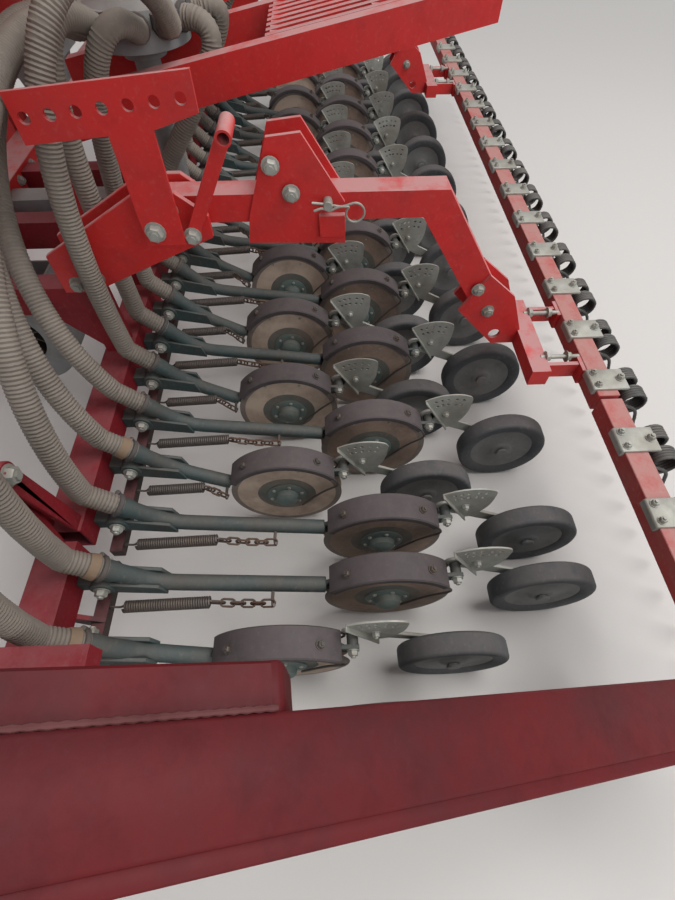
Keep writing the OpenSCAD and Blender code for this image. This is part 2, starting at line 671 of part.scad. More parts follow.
// Route of the hose of row k: straight out of its head's outlet, over the toolbar and straight into its socket
function hose_route(k) = let (
        side = row_x(k) > 0 ? 1 : -1,
        outlet = outlets[min(k, rows - 1 - k)],
        out = [side * cos(outlet[0]), sin(outlet[0])],
        mouth = socket + (socket_h + slide_gap) * arm_lean,
        into = mouth + 45 * arm_lean,
        reach = max(abs(row_x(k)) - tower_x, 0),
        run = 100 + max(0, cos(outlet[0])) * reach / 2,
        rise = reach > 0 ? 40 + 0.3 * reach + (abs(outlet[0]) > 90 ? 240 : 0) + min(outlet[2], 0) / 2 : 40,
        start = [side * tower_x, head_y, head_z + head_h / 2] + (head_r + slide_gap) * [out[0], out[1], 0],
        from = start + 35 * [out[0], out[1], 0],
        bend = [row_x(k) + side * outlet[1], into[0] - 10,
            into[1] + 0.7 * (head_z - mouth[1]) + 0.45 * reach + outlet[2]]
    ) concat([start], [for (i = [0:hose_steps]) curve(i / hose_steps, [from,
        from + [out[0] * run, out[1] * (reach > row_pitch ? 40 : 170), rise], bend,
        [row_x(k), into[0], into[1]]])], [[row_x(k), mouth[0], mouth[1]]]);

// Tube of eight sides along a route
module tube(path, r) {
    n = len(path);
    aim = [for (i = [0:n - 1]) let (d = path[min(i + 1, n - 1)] - path[max(i - 1, 0)]) d / norm(d)];
    flat = [for (a = aim) let (c = cross(a, [0.2, 1, 0.1])) c / norm(c)];
    rings = [for (i = [0:n - 1]) for (j = [0:7])
        path[i] + r * (cos(45 * j) * flat[i] + sin(45 * j) * cross(aim[i], flat[i]))];
    polyhedron(rings, concat([[for (j = [0:7]) j]], [[for (j = [7:-1:0]) 8 * (n - 1) + j]],
        [for (i = [0:n - 2]) for (j = [0:7]) let (k = (j + 1) % 8) 8 * i * [1, 1, 1, 1] + [j, 8 + j, 8 + k, k]]));
}

module hoses_of(part) color(hose_grey) for (k = [part[0]:part[1]]) tube(hose_route(k), hose_r);

main_frame();
headstock();
toolbar();
coulter_arms_of(mid);  // coulter_arms
fenders_of(mid);  // fenders
press_arms_of(mid);  // press_arms
hopper();
hopper_lid();
metering_box();
distributor();
fan_housing();
fan_rotor();
platform();
pressure_plates();
crank_handle();
harrow_brackets();
harrow_arms();
harrow_tube(-harrow_joint_x + 10, harrow_joint_x - 10);  // harrow_bar
tines_at(mid_places);  // harrow_tines
discs_of(mid, false);  // front_discs
discs_of(mid, true);  // rear_discs
press_wheels_of(mid, false);  // front_press_wheels
press_wheels_of(mid, true);  // rear_press_wheels
end_toolbar();  // toolbar_near
coulter_arms_of(near);  // coulter_arms_near
fenders_of(near);  // fenders_near
press_arms_of(near);  // press_arms_near
end_arm();  // end_arm_near
harrow_tube(harrow_joint_x, harrow_end_x);  // harrow_bar_near
tines_at(end_places);  // harrow_tines_near
discs_of(near, false);  // front_discs_near
discs_of(near, true);  // rear_discs_near
press_wheels_of(near, false);  // front_press_wheels_near
press_wheels_of(near, true);  // rear_press_wheels_near
mirror([1, 0, 0]) end_toolbar();  // toolbar_far
coulter_arms_of(far);  // coulter_arms_far
fenders_of(far);  // fenders_far
press_arms_of(far);  // press_arms_far
mirror([1, 0, 0]) end_arm();  // end_arm_far
mirror([1, 0, 0]) harrow_tube(harrow_joint_x, harrow_end_x);  // harrow_bar_far
mirror([1, 0, 0]) tines_at(end_places);  // harrow_tines_far
discs_of(far, false);  // front_discs_far
discs_of(far, true);  // rear_discs_far
press_wheels_of(far, false);  // front_press_wheels_far
press_wheels_of(far, true);  // rear_press_wheels_far
stand();  // stand_near
mirror([1, 0, 0]) stand();  // stand_far
hoses_of(mid);  // seed_hoses
hoses_of(near);  // seed_hoses_near
hoses_of(far);  // seed_hoses_far
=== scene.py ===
# Folding pneumatic seed drill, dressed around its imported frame
import bpy
import bmesh
import json
import math
from mathutils import Matrix, Vector


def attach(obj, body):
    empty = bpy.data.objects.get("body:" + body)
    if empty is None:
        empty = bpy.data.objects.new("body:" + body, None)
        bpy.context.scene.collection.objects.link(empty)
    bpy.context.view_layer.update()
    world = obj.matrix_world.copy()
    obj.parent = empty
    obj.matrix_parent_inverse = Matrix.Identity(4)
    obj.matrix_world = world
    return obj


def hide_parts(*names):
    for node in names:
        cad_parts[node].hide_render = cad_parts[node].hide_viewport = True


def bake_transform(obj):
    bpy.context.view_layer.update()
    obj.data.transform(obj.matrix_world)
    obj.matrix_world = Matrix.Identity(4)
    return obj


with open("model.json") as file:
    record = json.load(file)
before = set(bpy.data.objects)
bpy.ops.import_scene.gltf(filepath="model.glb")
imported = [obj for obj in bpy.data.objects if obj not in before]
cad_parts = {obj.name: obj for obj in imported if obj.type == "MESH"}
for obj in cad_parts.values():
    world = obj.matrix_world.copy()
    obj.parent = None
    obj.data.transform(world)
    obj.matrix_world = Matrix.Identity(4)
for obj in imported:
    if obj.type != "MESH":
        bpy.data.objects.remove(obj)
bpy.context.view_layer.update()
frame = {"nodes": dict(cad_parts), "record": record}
print("frame loaded")

# Camera at the drill's +X end, looking along the coulters
viewFrom = {
    "place": (1.946, 0.122, 1.342),
    "pitch": 55.8,  # degrees down
    "yaw": -1.9,  # degrees towards the front
    "roll": -0.37,
    "focal": 472.2,  # pixels, of a picture with the long side below
    "longSide": 900,
    "sensor": 36,  # mm
}


def makeCamera():
    data = bpy.data.cameras.new("viewCamera")
    data.sensor_fit = "AUTO"
    data.sensor_width = viewFrom["sensor"]
    data.lens = viewFrom["focal"] / viewFrom["longSide"] * viewFrom["sensor"]
    cam = bpy.data.objects.new("viewCamera", data)
    bpy.context.scene.collection.objects.link(cam)
    yaw, pitch, roll = (math.radians(viewFrom[k]) for k in ("yaw", "pitch", "roll"))
    ahead = Vector((-math.cos(yaw), -math.sin(yaw), 0))
    side = Vector((-math.sin(yaw), math.cos(yaw), 0))
    up = Vector((0, 0, 1))
    look = ahead * math.cos(pitch) - up * math.sin(pitch)
    top = up * math.cos(pitch) + ahead * math.sin(pitch)
    right = side * math.cos(roll) + top * math.sin(roll)
    top = top * math.cos(roll) - side * math.sin(roll)
    cam.matrix_world = Matrix((
        (right.x, top.x, -look.x, viewFrom["place"][0]),
        (right.y, top.y, -look.y, viewFrom["place"][1]),
        (right.z, top.z, -look.z, viewFrom["place"][2]),
        (0, 0, 0, 1),
    ))
    bpy.context.scene.camera = cam


makeCamera()

# Finishes. base, worn and dust are linear RGB. dustTop is how much dust lies on faces that look up, grime how
# dark the patches are, flecks how much the small specks show, and below the height darkBelow all turns
# near-black.
finishes = {
    "brightRed": dict(base=(0.56, 0.016, 0.014), worn=(0.42, 0.024, 0.022), dust=(0.43, 0.27, 0.26),
                      dustTop=0.78, grime=0.35, rough=0.38, bump=0.10, flecks=0.09),
    # Red paint darkened as painted shade, for the toolbar
    "toolbarShadedRed": dict(base=(0.20, 0.009, 0.015), worn=(0.14, 0.013, 0.016), dust=(0.24, 0.085, 0.09),
                       dustTop=0.45, grime=0.5, rough=0.45, bump=0.10, darkBelow=0.285, shine=0.25),
    "dustyRed": dict(base=(0.42, 0.045, 0.04), worn=(0.36, 0.10, 0.09), dust=(0.42, 0.27, 0.24),
                     dustTop=0.62, grime=0.35, rough=0.55, bump=0.14),
    # Red paint darkened as painted shade, for the dark red slot and the end arms
    "shadedRed": dict(base=(0.112, 0.005, 0.007), worn=(0.048, 0.009, 0.011), dust=(0.095, 0.018, 0.021),
                    dustTop=0.30, grime=0.6, rough=0.42, bump=0.14, shine=0.2),
    "weldBead": dict(base=(0.060, 0.006, 0.008), worn=(0.16, 0.055, 0.05), dust=(0.11, 0.03, 0.03),
                     dustTop=0.4, grime=0.5, rough=0.6, bump=0.15),
    "darkTeal": dict(base=(0.030, 0.056, 0.056), worn=(0.052, 0.050, 0.044), dust=(0.19, 0.15, 0.125),
                     dustTop=0.28, grime=0.4, rough=0.5, bump=0.14),
    "fenderSteel": dict(base=(0.062, 0.050, 0.052), worn=(0.036, 0.028, 0.028), dust=(0.140, 0.112, 0.108),
                        dustTop=0.35, grime=0.5, rough=0.55, bump=0.14),
    "zincPlate": dict(base=(0.40, 0.41, 0.375), worn=(0.22, 0.205, 0.17), dust=(0.31, 0.27, 0.23),
                      dustTop=0.30, grime=0.5, rough=0.45, bump=0.12, metallic=0.55),
    "rubberBlack": dict(base=(0.045, 0.050, 0.056), worn=(0.075, 0.072, 0.070), dust=(0.19, 0.16, 0.14),
                        dustTop=0.32, grime=0.35, rough=0.72, bump=0.10),
    "springSteel": dict(base=(0.090, 0.080, 0.074), worn=(0.120, 0.090, 0.072), dust=(0.20, 0.165, 0.14),
                        dustTop=0.25, grime=0.4, rough=0.42, bump=0.08, metallic=0.6),
    "discRim": dict(base=(0.24, 0.205, 0.18), worn=(0.14, 0.115, 0.10), dust=(0.34, 0.27, 0.22),
                    dustTop=0.2, grime=0.4, rough=0.5, bump=0.10, metallic=0.5),
    "discSoil": dict(base=(0.53, 0.42, 0.33), worn=(0.23, 0.165, 0.130), dust=(0.50, 0.39, 0.31),
                     dustTop=0.2, grime=0.45, rough=0.8, bump=0.25),
    "discBrown": dict(base=(0.30, 0.215, 0.165), worn=(0.150, 0.110, 0.090), dust=(0.44, 0.34, 0.27),
                      dustTop=0.2, grime=0.5, rough=0.75, bump=0.25),
    "discCentre": dict(base=(0.115, 0.120, 0.105), worn=(0.20, 0.15, 0.12), dust=(0.33, 0.25, 0.20),
                       dustTop=0.2, grime=0.45, rough=0.7, bump=0.20),
    "hoseGrey": dict(base=(0.190, 0.164, 0.136), worn=(0.128, 0.108, 0.090), dust=(0.30, 0.255, 0.21),
                     dustTop=0.34, grime=0.35, rough=0.6, bump=0.06),
    "hoseTape": dict(base=(0.230, 0.155, 0.095), worn=(0.17, 0.115, 0.075), dust=(0.28, 0.20, 0.14),
                     dustTop=0.3, grime=0.3, rough=0.7, bump=0.12),
    "clipDark": dict(base=(0.050, 0.048, 0.050), worn=(0.09, 0.07, 0.055), dust=(0.16, 0.13, 0.11),
                     dustTop=0.3, grime=0.3, rough=0.5, bump=0.08),
    "chainRust": dict(base=(0.085, 0.055, 0.040), worn=(0.13, 0.06, 0.035), dust=(0.20, 0.15, 0.12),
                      dustTop=0.3, grime=0.4, rough=0.65, bump=0.10, metallic=0.3),
    "hubTeal": dict(base=(0.105, 0.155, 0.145), worn=(0.085, 0.075, 0.060), dust=(0.25, 0.20, 0.16),
                    dustTop=0.35, grime=0.45, rough=0.5, bump=0.12),
    "wheelDisc": dict(base=(0.130, 0.134, 0.132), worn=(0.15, 0.14, 0.13), dust=(0.27, 0.235, 0.205),
                      dustTop=0.35, grime=0.4, rough=0.6, bump=0.14),
    "tineBlack": dict(base=(0.040, 0.045, 0.046), worn=(0.065, 0.060, 0.055), dust=(0.19, 0.165, 0.145),
                      dustTop=0.5, grime=0.3, rough=0.45, bump=0.06, metallic=0.2),
    "greyPaint": dict(base=(0.24, 0.25, 0.25), worn=(0.16, 0.16, 0.15), dust=(0.35, 0.30, 0.25),
                      dustTop=0.4, grime=0.4, rough=0.5, bump=0.08),
}

# What all finishes share. A noise is its scale, detail and roughness.
wear = {
    "patchNoise": (7, 5, 0.6),
    "speckNoise": (95, 3, 0.6),
    "cloudNoise": (19, 6, 0.65),
    "grainNoise": (240, 2, 0.5),
    "wornShare": 0.75,
    "grimeShade": 0.58,
    # Near-black colours that a finish takes below its height darkBelow
    "belowBase": (0.035, 0.022, 0.020),
    "belowWorn": (0.060, 0.040, 0.034),
    "belowEdge": 0.004,
    "bumpDepth": 0.002,
    "roughSpread": 0.38,
}


class Nodes:
    # Short helper that adds shader nodes and links them
    def __init__(self, name):
        self.mat = bpy.data.materials.new(name)
        self.mat.use_nodes = True
        self.tree = self.mat.node_tree
        self.tree.nodes.clear()

    def add(self, kind, links=None, **values):
        node = self.tree.nodes.new(kind)
        for key, value in values.items():
            if key in node.bl_rna.properties:
                setattr(node, key, value)
            else:
                node.inputs[key.replace("_", " ")].default_value = value
        for key, out in (links or {}).items():
            self.tree.links.new(out, node.inputs[key])
        return node

    def feed(self, socket, value):
        # A number, a colour or what comes out of another node
        if isinstance(value, (int, float)):
            socket.default_value = value
        elif isinstance(value, tuple):
            socket.default_value = (*value, 1)
        else:
            self.tree.links.new(value, socket)

    def ramp(self, source, low, high):
        node = self.add("ShaderNodeMapRange", {"Value": source})
        node.inputs["From Min"].default_value = low
        node.inputs["From Max"].default_value = high
        return node.outputs["Result"]

    def times(self, a, b):
        node = self.add("ShaderNodeMath", operation="MULTIPLY")
        self.feed(node.inputs[0], a)
        self.feed(node.inputs[1], b)
        return node.outputs[0]

    def mix(self, factor, a, b):
        # The sockets of a colour mix are 0, 6 and 7, and its result is 2
        node = self.add("ShaderNodeMix", data_type="RGBA")
        for socket, value in ((0, factor), (6, a), (7, b)):
            self.feed(node.inputs[socket], value)
        return node.outputs[2]

    def noise(self, scale, detail, rough):
        coord = self.add("ShaderNodeTexCoord")
        return self.add("ShaderNodeTexNoise", {"Vector": coord.outputs["Object"]},
                        Scale=scale, Detail=detail, Roughness=rough).outputs["Fac"]


def makeFinish(name, base, worn, dust, dustTop, grime, rough, bump, metallic=0.0, darkBelow=0.0, flecks=0.25,
               shine=0.5):
    n = Nodes(name)
    coord = n.add("ShaderNodeTexCoord")
    patches = n.ramp(n.noise(*wear["patchNoise"]), 0.42, 0.66)
    if darkBelow:
        # The spring rail below the toolbar turns near-black below the height darkBelow
        height = n.add("ShaderNodeSeparateXYZ", {"Vector": coord.outputs["Object"]}).outputs["Z"]
        low = n.ramp(height, darkBelow + wear["belowEdge"], darkBelow)
        base = n.mix(low, base, wear["belowBase"])
        worn = n.mix(low, worn, wear["belowWorn"])
    specks = n.ramp(n.noise(*wear["speckNoise"]), 0.56, 0.72)
    cloud = n.noise(*wear["cloudNoise"])
    colour = n.mix(n.times(patches, wear["wornShare"]), base, worn)
    dark = n.mix(wear["grimeShade"], base, (0, 0, 0))
    colour = n.mix(n.times(n.ramp(cloud, 0.52, 0.78), grime), colour, dark)
    split = n.add("ShaderNodeSeparateXYZ", {"Vector": coord.outputs["Normal"]})
    facingUp = n.ramp(split.outputs["Z"], 0.15, 0.95)
    settled = n.times(facingUp, n.ramp(cloud, 0.22, 0.52))
    colour = n.mix(n.times(settled, dustTop), colour, dust)
    colour = n.mix(n.times(specks, flecks), colour, dust)
    grain = n.mix(0.5, cloud, n.noise(*wear["grainNoise"]))
    bumpNode = n.add("ShaderNodeBump", {"Height": grain}, Strength=bump, Distance=wear["bumpDepth"])
    roughMix = n.add("ShaderNodeMapRange", {"Value": cloud})
    roughMix.inputs["To Min"].default_value = rough
    roughMix.inputs["To Max"].default_value = min(1.0, rough + wear["roughSpread"])
    shader = n.add("ShaderNodeBsdfPrincipled", {"Base Color": colour, "Roughness": roughMix.outputs[0],
                                                "Normal": bumpNode.outputs[0]},
                   Metallic=metallic, Specular_IOR_Level=shine)
    n.add("ShaderNodeOutputMaterial", {"Surface": shader.outputs[0]})
    return n.mat


mats = {name: makeFinish(name, **values) for name, values in finishes.items()}

# Finish of each slot of the frame. The toolbar has its own red, darkened as painted shade.
# The dark red slot takes the red paint darkened as painted shade
slotFinish = {"bright_red": "brightRed", "dusty_red": "dustyRed", "dark_red": "shadedRed", "teal": "darkTeal",
              "fender": "fenderSteel", "galvanised": "zincPlate", "rubber": "rubberBlack", "disc": "discSoil",
              "spring": "springSteel", "steel": "greyPaint", "hose": "hoseGrey"}

slotOf = {row["node"]: row["material_slot"] for row in frame["record"]["subparts"]}
for node, obj in frame["nodes"].items():
    # The toolbar's nodes take the red paint darkened as painted shade
    finish = mats["toolbarShadedRed" if node.startswith("toolbar") else slotFinish[slotOf[node]]]
    obj.data.materials.clear()
    obj.data.materials.append(finish)
print("finishes set")


# Mesh pieces. A Shape gathers faces, each with the number of its finish.
class Shape:
    def __init__(self):
        self.points = []
        self.faces = []
        self.skins = []
        self.skin = 0  # finish of the faces that come next

    def add(self, points, faces):
        start = len(self.points)
        self.points += [tuple(p) for p in points]
        self.faces += [[start + i for i in face] for face in faces]
        self.skins += [self.skin] * len(faces)

    def copy(self, other, shift=(0, 0, 0)):
        start = len(self.points)
        self.points += [(p[0] + shift[0], p[1] + shift[1], p[2] + shift[2]) for p in other.points]
        self.faces += [[start + i for i in face] for face in other.faces]
        self.skins += other.skins

    def gather(self, bm):
        # Takes a bmesh's faces over
        bm.verts.index_update()
        self.add([v.co[:] for v in bm.verts], [[v.index for v in f.verts] for f in bm.faces])
        bm.free()


def ringFaces(rings, sides, closed=False):
    # Faces from each ring of points to the next one
    faces = []
    for i in range(rings if closed else rings - 1):
        nextRing = (i + 1) % rings
        for j in range(sides):
            k = (j + 1) % sides
            faces.append([sides * i + j, sides * i + k, sides * nextRing + k, sides * nextRing + j])
    return faces


def endFaces(rings, sides):
    return [list(range(sides))[::-1], [sides * (rings - 1) + j for j in range(sides)]]


def tube(shape, path, radius, sides=10, closed=False):
    # Round bar along a path. radius is one number or one for each point.
    path = [Vector(p) for p in path]
    count = len(path)
    radii = radius if isinstance(radius, (list, tuple)) else [radius] * count
    aims = []
    for i in range(count):
        before = path[(i - 1) % count] if closed or i else path[i]
        after = path[(i + 1) % count] if closed or i < count - 1 else path[i]
        aims.append((after - before).normalized())
    across = aims[0].orthogonal().normalized()
    points = []
    for i in range(count):
        across = (across - aims[i] * across.dot(aims[i])).normalized()
        up = aims[i].cross(across)
        for j in range(sides):
            turn = 2 * math.pi * j / sides
            points.append(path[i] + radii[i] * (math.cos(turn) * across + math.sin(turn) * up))
    faces = ringFaces(count, sides, closed)
    if not closed:
        faces += endFaces(count, sides)
    shape.add(points, faces)


def rod(shape, a, b, radius, sides=20, edge=0.0015):
    # Straight round bar with its end edges broken
    a, b = Vector(a), Vector(b)
    step = (b - a).normalized() * edge
    tube(shape, [a, a + step, b - step, b], [radius - edge, radius, radius, radius - edge], sides)


def lathe(shape, centre, profile, sides):
    # Profile of (x, radius) points turned about an axis along X. A hollow one ends on its first point.
    turns = [2 * math.pi * j / sides for j in range(sides)]
    points = [(centre[0] + x, centre[1] + r * math.cos(t), centre[2] + r * math.sin(t))
              for x, r in profile for t in turns]
    shape.add(points, ringFaces(len(profile), sides))


def thicken(bm, reach):
    # Gives the flat faces of a plate their thickness along X
    grown = bmesh.ops.extrude_face_region(bm, geom=bm.faces[:])["geom"]
    corners = [v for v in grown if isinstance(v, bmesh.types.BMVert)]
    bmesh.ops.translate(bm, vec=(reach, 0, 0), verts=corners)
    bmesh.ops.recalc_face_normals(bm, faces=bm.faces)


def prism(shape, outline, low, high, edge=0.0012):
    # Plate with broken edges from an outline in the YZ plane, between two X
    bm = bmesh.new()
    bm.faces.new([bm.verts.new((low, *p)) for p in outline])
    thicken(bm, high - low)
    bmesh.ops.bevel(bm, geom=bm.edges[:], offset=edge, segments=1, profile=0.5, affect="EDGES",
                    clamp_overlap=True)
    shape.gather(bm)


def punched(shape, outline, holes, low, high):
    # Plate with round holes from outlines in the YZ plane, between two X
    bm = bmesh.new()
    for loop in [outline] + holes:
        corners = [bm.verts.new((low, *p)) for p in loop]
        for a, b in zip(corners, corners[1:] + corners[:1]):
            bm.edges.new((a, b))
    bmesh.ops.triangle_fill(bm, edges=bm.edges[:], use_beauty=True, use_dissolve=False)
    thicken(bm, high - low)
    shape.gather(bm)


# Radii of a bolt's parts as shares of its size, which is the nut's width
nut = {
    "washer": 0.72,
    "washerThick": 0.002,  # m
    "corner": 0.57,
    "crown": 0.48,
    "crownFrom": 0.8,  # share of the nut's thickness where its crown starts
    "stud": 0.28,
}


def bolt(shape, place, aim, size, thick, stud=0.004):
    # Hexagon nut on a washer with the bolt's end showing
    place, aim = Vector(place), Vector(aim).normalized()
    base = place + aim * nut["washerThick"]
    crown = base + aim * thick
    shoulder = base + aim * thick * nut["crownFrom"]
    corner = size * nut["corner"]
    tube(shape, [place, base], size * nut["washer"], 14)
    tube(shape, [base, shoulder, crown], [corner, corner, size * nut["crown"]], 6)
    tube(shape, [crown, base + aim * (thick + stud)], size * nut["stud"], 8)


def coilPath(start, end, radius, turns, steps):
    # Helix round the line from start to end
    start, end = Vector(start), Vector(end)
    aim = (end - start).normalized()
    across = aim.orthogonal().normalized()
    up = aim.cross(across)
    count = turns * steps
    path = []
    for i in range(count + 1):
        turn = 2 * math.pi * i / steps
        path.append(start.lerp(end, i / count) + radius * (math.cos(turn) * across + math.sin(turn) * up))
    return path


def linkPath(start, end, width, turned, corners=12):
    # Oval chain link from start to end
    aim = (end - start).normalized()
    across = aim.cross(Vector((1, 0, 0))).normalized()
    if turned:
        across = aim.cross(across)
    middle = (start + end) / 2
    half = width / 2
    straight = (end - start).length / 2 - half
    path = []
    for i in range(corners):
        turn = 2 * math.pi * (i + 0.5) / corners
        along = straight if math.cos(turn) > 0 else -straight
        path.append(middle + aim * (along + math.cos(turn) * half) + across * math.sin(turn) * half)
    return path


def rounded(path, radius, steps=5):
    # Path with each inner corner replaced by an arc-like curve
    path = [Vector(p) for p in path]
    soft = [path[0]]
    for before, corner, after in zip(path, path[1:], path[2:]):
        reach = min(radius, (before - corner).length / 2, (after - corner).length / 2)
        first = corner + (before - corner).normalized() * reach
        last = corner + (after - corner).normalized() * reach
        for i in range(steps + 1):
            t = i / steps
            soft.append(first * (1 - t) ** 2 + corner * 2 * t * (1 - t) + last * t * t)
    return soft + [path[-1]]


def onArc(radius, degrees, y=0.0, z=0.0):
    turn = math.radians(degrees)
    return y + radius * math.cos(turn), z + radius * math.sin(turn)


def arcPoints(radius, first, last, count, y=0.0, z=0.0):
    return [onArc(radius, first + (last - first) * i / (count - 1), y, z) for i in range(count)]


def makePiece(name, shape, finishNames, body, replaced=(), smooth=40):
    # Mesh object of a shape. Edges sharper than smooth degrees stay sharp.
    mesh = bpy.data.meshes.new(name)
    mesh.from_pydata(shape.points, [], shape.faces)
    for finish in finishNames:
        mesh.materials.append(mats[finish])
    mesh.polygons.foreach_set("material_index", shape.skins)
    whole = bmesh.new()
    whole.from_mesh(mesh)
    bmesh.ops.remove_doubles(whole, verts=whole.verts, dist=0.00001)
    bmesh.ops.recalc_face_normals(whole, faces=whole.faces)
    whole.to_mesh(mesh)
    whole.free()
    mesh.polygons.foreach_set("use_smooth", [True] * len(mesh.polygons))
    mesh.set_sharp_from_angle(angle=math.radians(smooth))
    obj = bpy.data.objects.new(name, mesh)
    bpy.context.scene.collection.objects.link(obj)
    if body:
        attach(obj, body)
    if replaced:
        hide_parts(*replaced)
    return obj


# Places of the rows, as the frame has them
rowPlan = {
    "pitch": 0.15,
    "count": 26,
    "endRows": 3,  # rows on each end section
    "step": 0.255,  # from the front discs' axle to the rear discs'
    "discZ": 0.163,
    "pressBack": 0.400,  # from a disc's axle to its press wheel's
    "pressZ": 0.130,
}
# First row, the row after the last one, and the body of each section
sections = {
    "near": (0, rowPlan["endRows"], "end_section_near"),
    "mid": (rowPlan["endRows"], rowPlan["count"] - rowPlan["endRows"], "frame"),
    "far": (rowPlan["count"] - rowPlan["endRows"], rowPlan["count"], "end_section_far"),
}


def rowX(k):
    return ((rowPlan["count"] - 1) / 2 - k) * rowPlan["pitch"]


def isRear(k):
    return (k if k < rowPlan["endRows"] else k - rowPlan["endRows"]) % 2 == 0


def discY(k):
    return rowPlan["step"] if isRear(k) else 0.0


def nodeName(base, section):
    return base if section == "mid" else base + "_" + section


def inPlane(x, point):
    return Vector((x, *point))


# Coulter arms. Places are y and z, where y 0 is the front discs' axle.
coulterArm = {
    "tubeRadius": 0.0185,
    "socketRadius": 0.0225,
    "socketLength": 0.058,
    "boss": (-0.380, 0.325),  # in the toolbar's brackets
    "bossRadius": 0.026,
    "bossHalf": 0.028,
    "heel": (-0.276, 0.290),  # where the neck bends
    "socket": (-0.346, 0.362),
    # Tip of rear and of front arms, with y from their disc's axle
    "tip": {True: (-0.152, 0.225), False: (-0.152, 0.217)},
    "bracket": (0.016, 0.024),  # inner and outer face of the plates beside the neck
    "barFront": -0.430,
    "barHalf": (0.020, 0.018),  # in X and Z
    "hangerHalf": 0.005,
    "backRadius": 0.165,
    "backTurns": (164, 62),  # degrees
    "axle": (0.029, 0.010),  # half its length, and its radius
    "pressLink": (0.160, 0.085),  # from the disc's axle
    "pressPin": (-0.031, 0.013),  # X where it meets the press arm, and its radius
    "hangerBolts": [(-0.060, 0.120), (0.040, 0.120)],  # from the disc's axle
    # Size and thickness of the nuts
    "bossNut": (0.024, 0.012),
    "pressNut": (0.020, 0.010),
    "hangerNut": (0.014, 0.007),
}
lean = (Vector((0, *coulterArm["socket"])) - Vector((0, *coulterArm["heel"]))).normalized()

# Spring from the toolbar's rail with a chain to the arm, beside the arm
springPlan = {
    "x": 0.046,
    "hook": (-0.3847, 0.254),
    "start": (-0.3507, 0.262),
    "end": {True: (-0.1557, 0.272), False: (-0.2057, 0.269)},  # of rear and front arms
    "radius": 0.0115,
    "wire": 0.0028,
    "pitch": 2.02,  # of the turns, in wire radii
    "linkPitch": 0.022,
    "linkOverlap": 0.005,
    "linkWidth": 0.017,
    "linkWire": 0.0027,
    "sag": 0.04,  # of the chain's length
    "lugRadius": 0.004,
}


def springAndChain(shape, lug, rear):
    s = springPlan
    start, end = inPlane(s["x"], s["start"]), inPlane(s["x"], s["end"][rear])
    hook, lug = inPlane(s["x"], s["hook"]), inPlane(s["x"], lug)
    shape.skin = 1
    turns = round((end - start).length / (s["pitch"] * s["wire"]))
    tube(shape, coilPath(start, end, s["radius"], turns, 10), s["wire"], 6)
    frontHook = [start + Vector((0, 0.004, s["radius"])), start - Vector((0, 0.008, 0.002)),
                 hook + Vector((0, 0.004, 0.012)), hook + Vector((0, 0, -0.002))]
    tube(shape, rounded(frontHook, 0.01), s["wire"], 6)
    rearHook = [end + Vector((0, -0.004, s["radius"])), end + Vector((0, 0.010, 0.004)),
                end + Vector((0, 0.014, -0.006)), end + Vector((0, 0.004, -0.008))]
    tube(shape, rounded(rearHook, 0.008), s["wire"], 6)
    shape.skin = 2
    begin = end + Vector((0, 0.004, 0))
    run = lug - begin
    links = max(1, round(run.length / s["linkPitch"]))
    sag = Vector((0, 0, -s["sag"] * run.length if links > 3 else 0))
    spots = [begin + run * (i / links) + sag * (4 * i / links * (1 - i / links)) for i in range(links + 1)]
    for i in range(links):
        over = (spots[i + 1] - spots[i]).normalized() * s["linkOverlap"]
        link = linkPath(spots[i] - over, spots[i + 1] + over, s["linkWidth"], i % 2 == 1)
        tube(shape, link, s["linkWire"], 6, True)
    # Bent lug on the arm that holds the chain's last link
    shape.skin = 1
    bent = [lug + Vector((0.006, 0.004, 0.006)), lug + Vector((0.006, 0, -0.006)),
            lug + Vector((-0.012, -0.002, -0.006)), lug + Vector((0.012 - s["x"], 0, 0))]
    tube(shape, rounded(bent, 0.008), s["lugRadius"], 8)


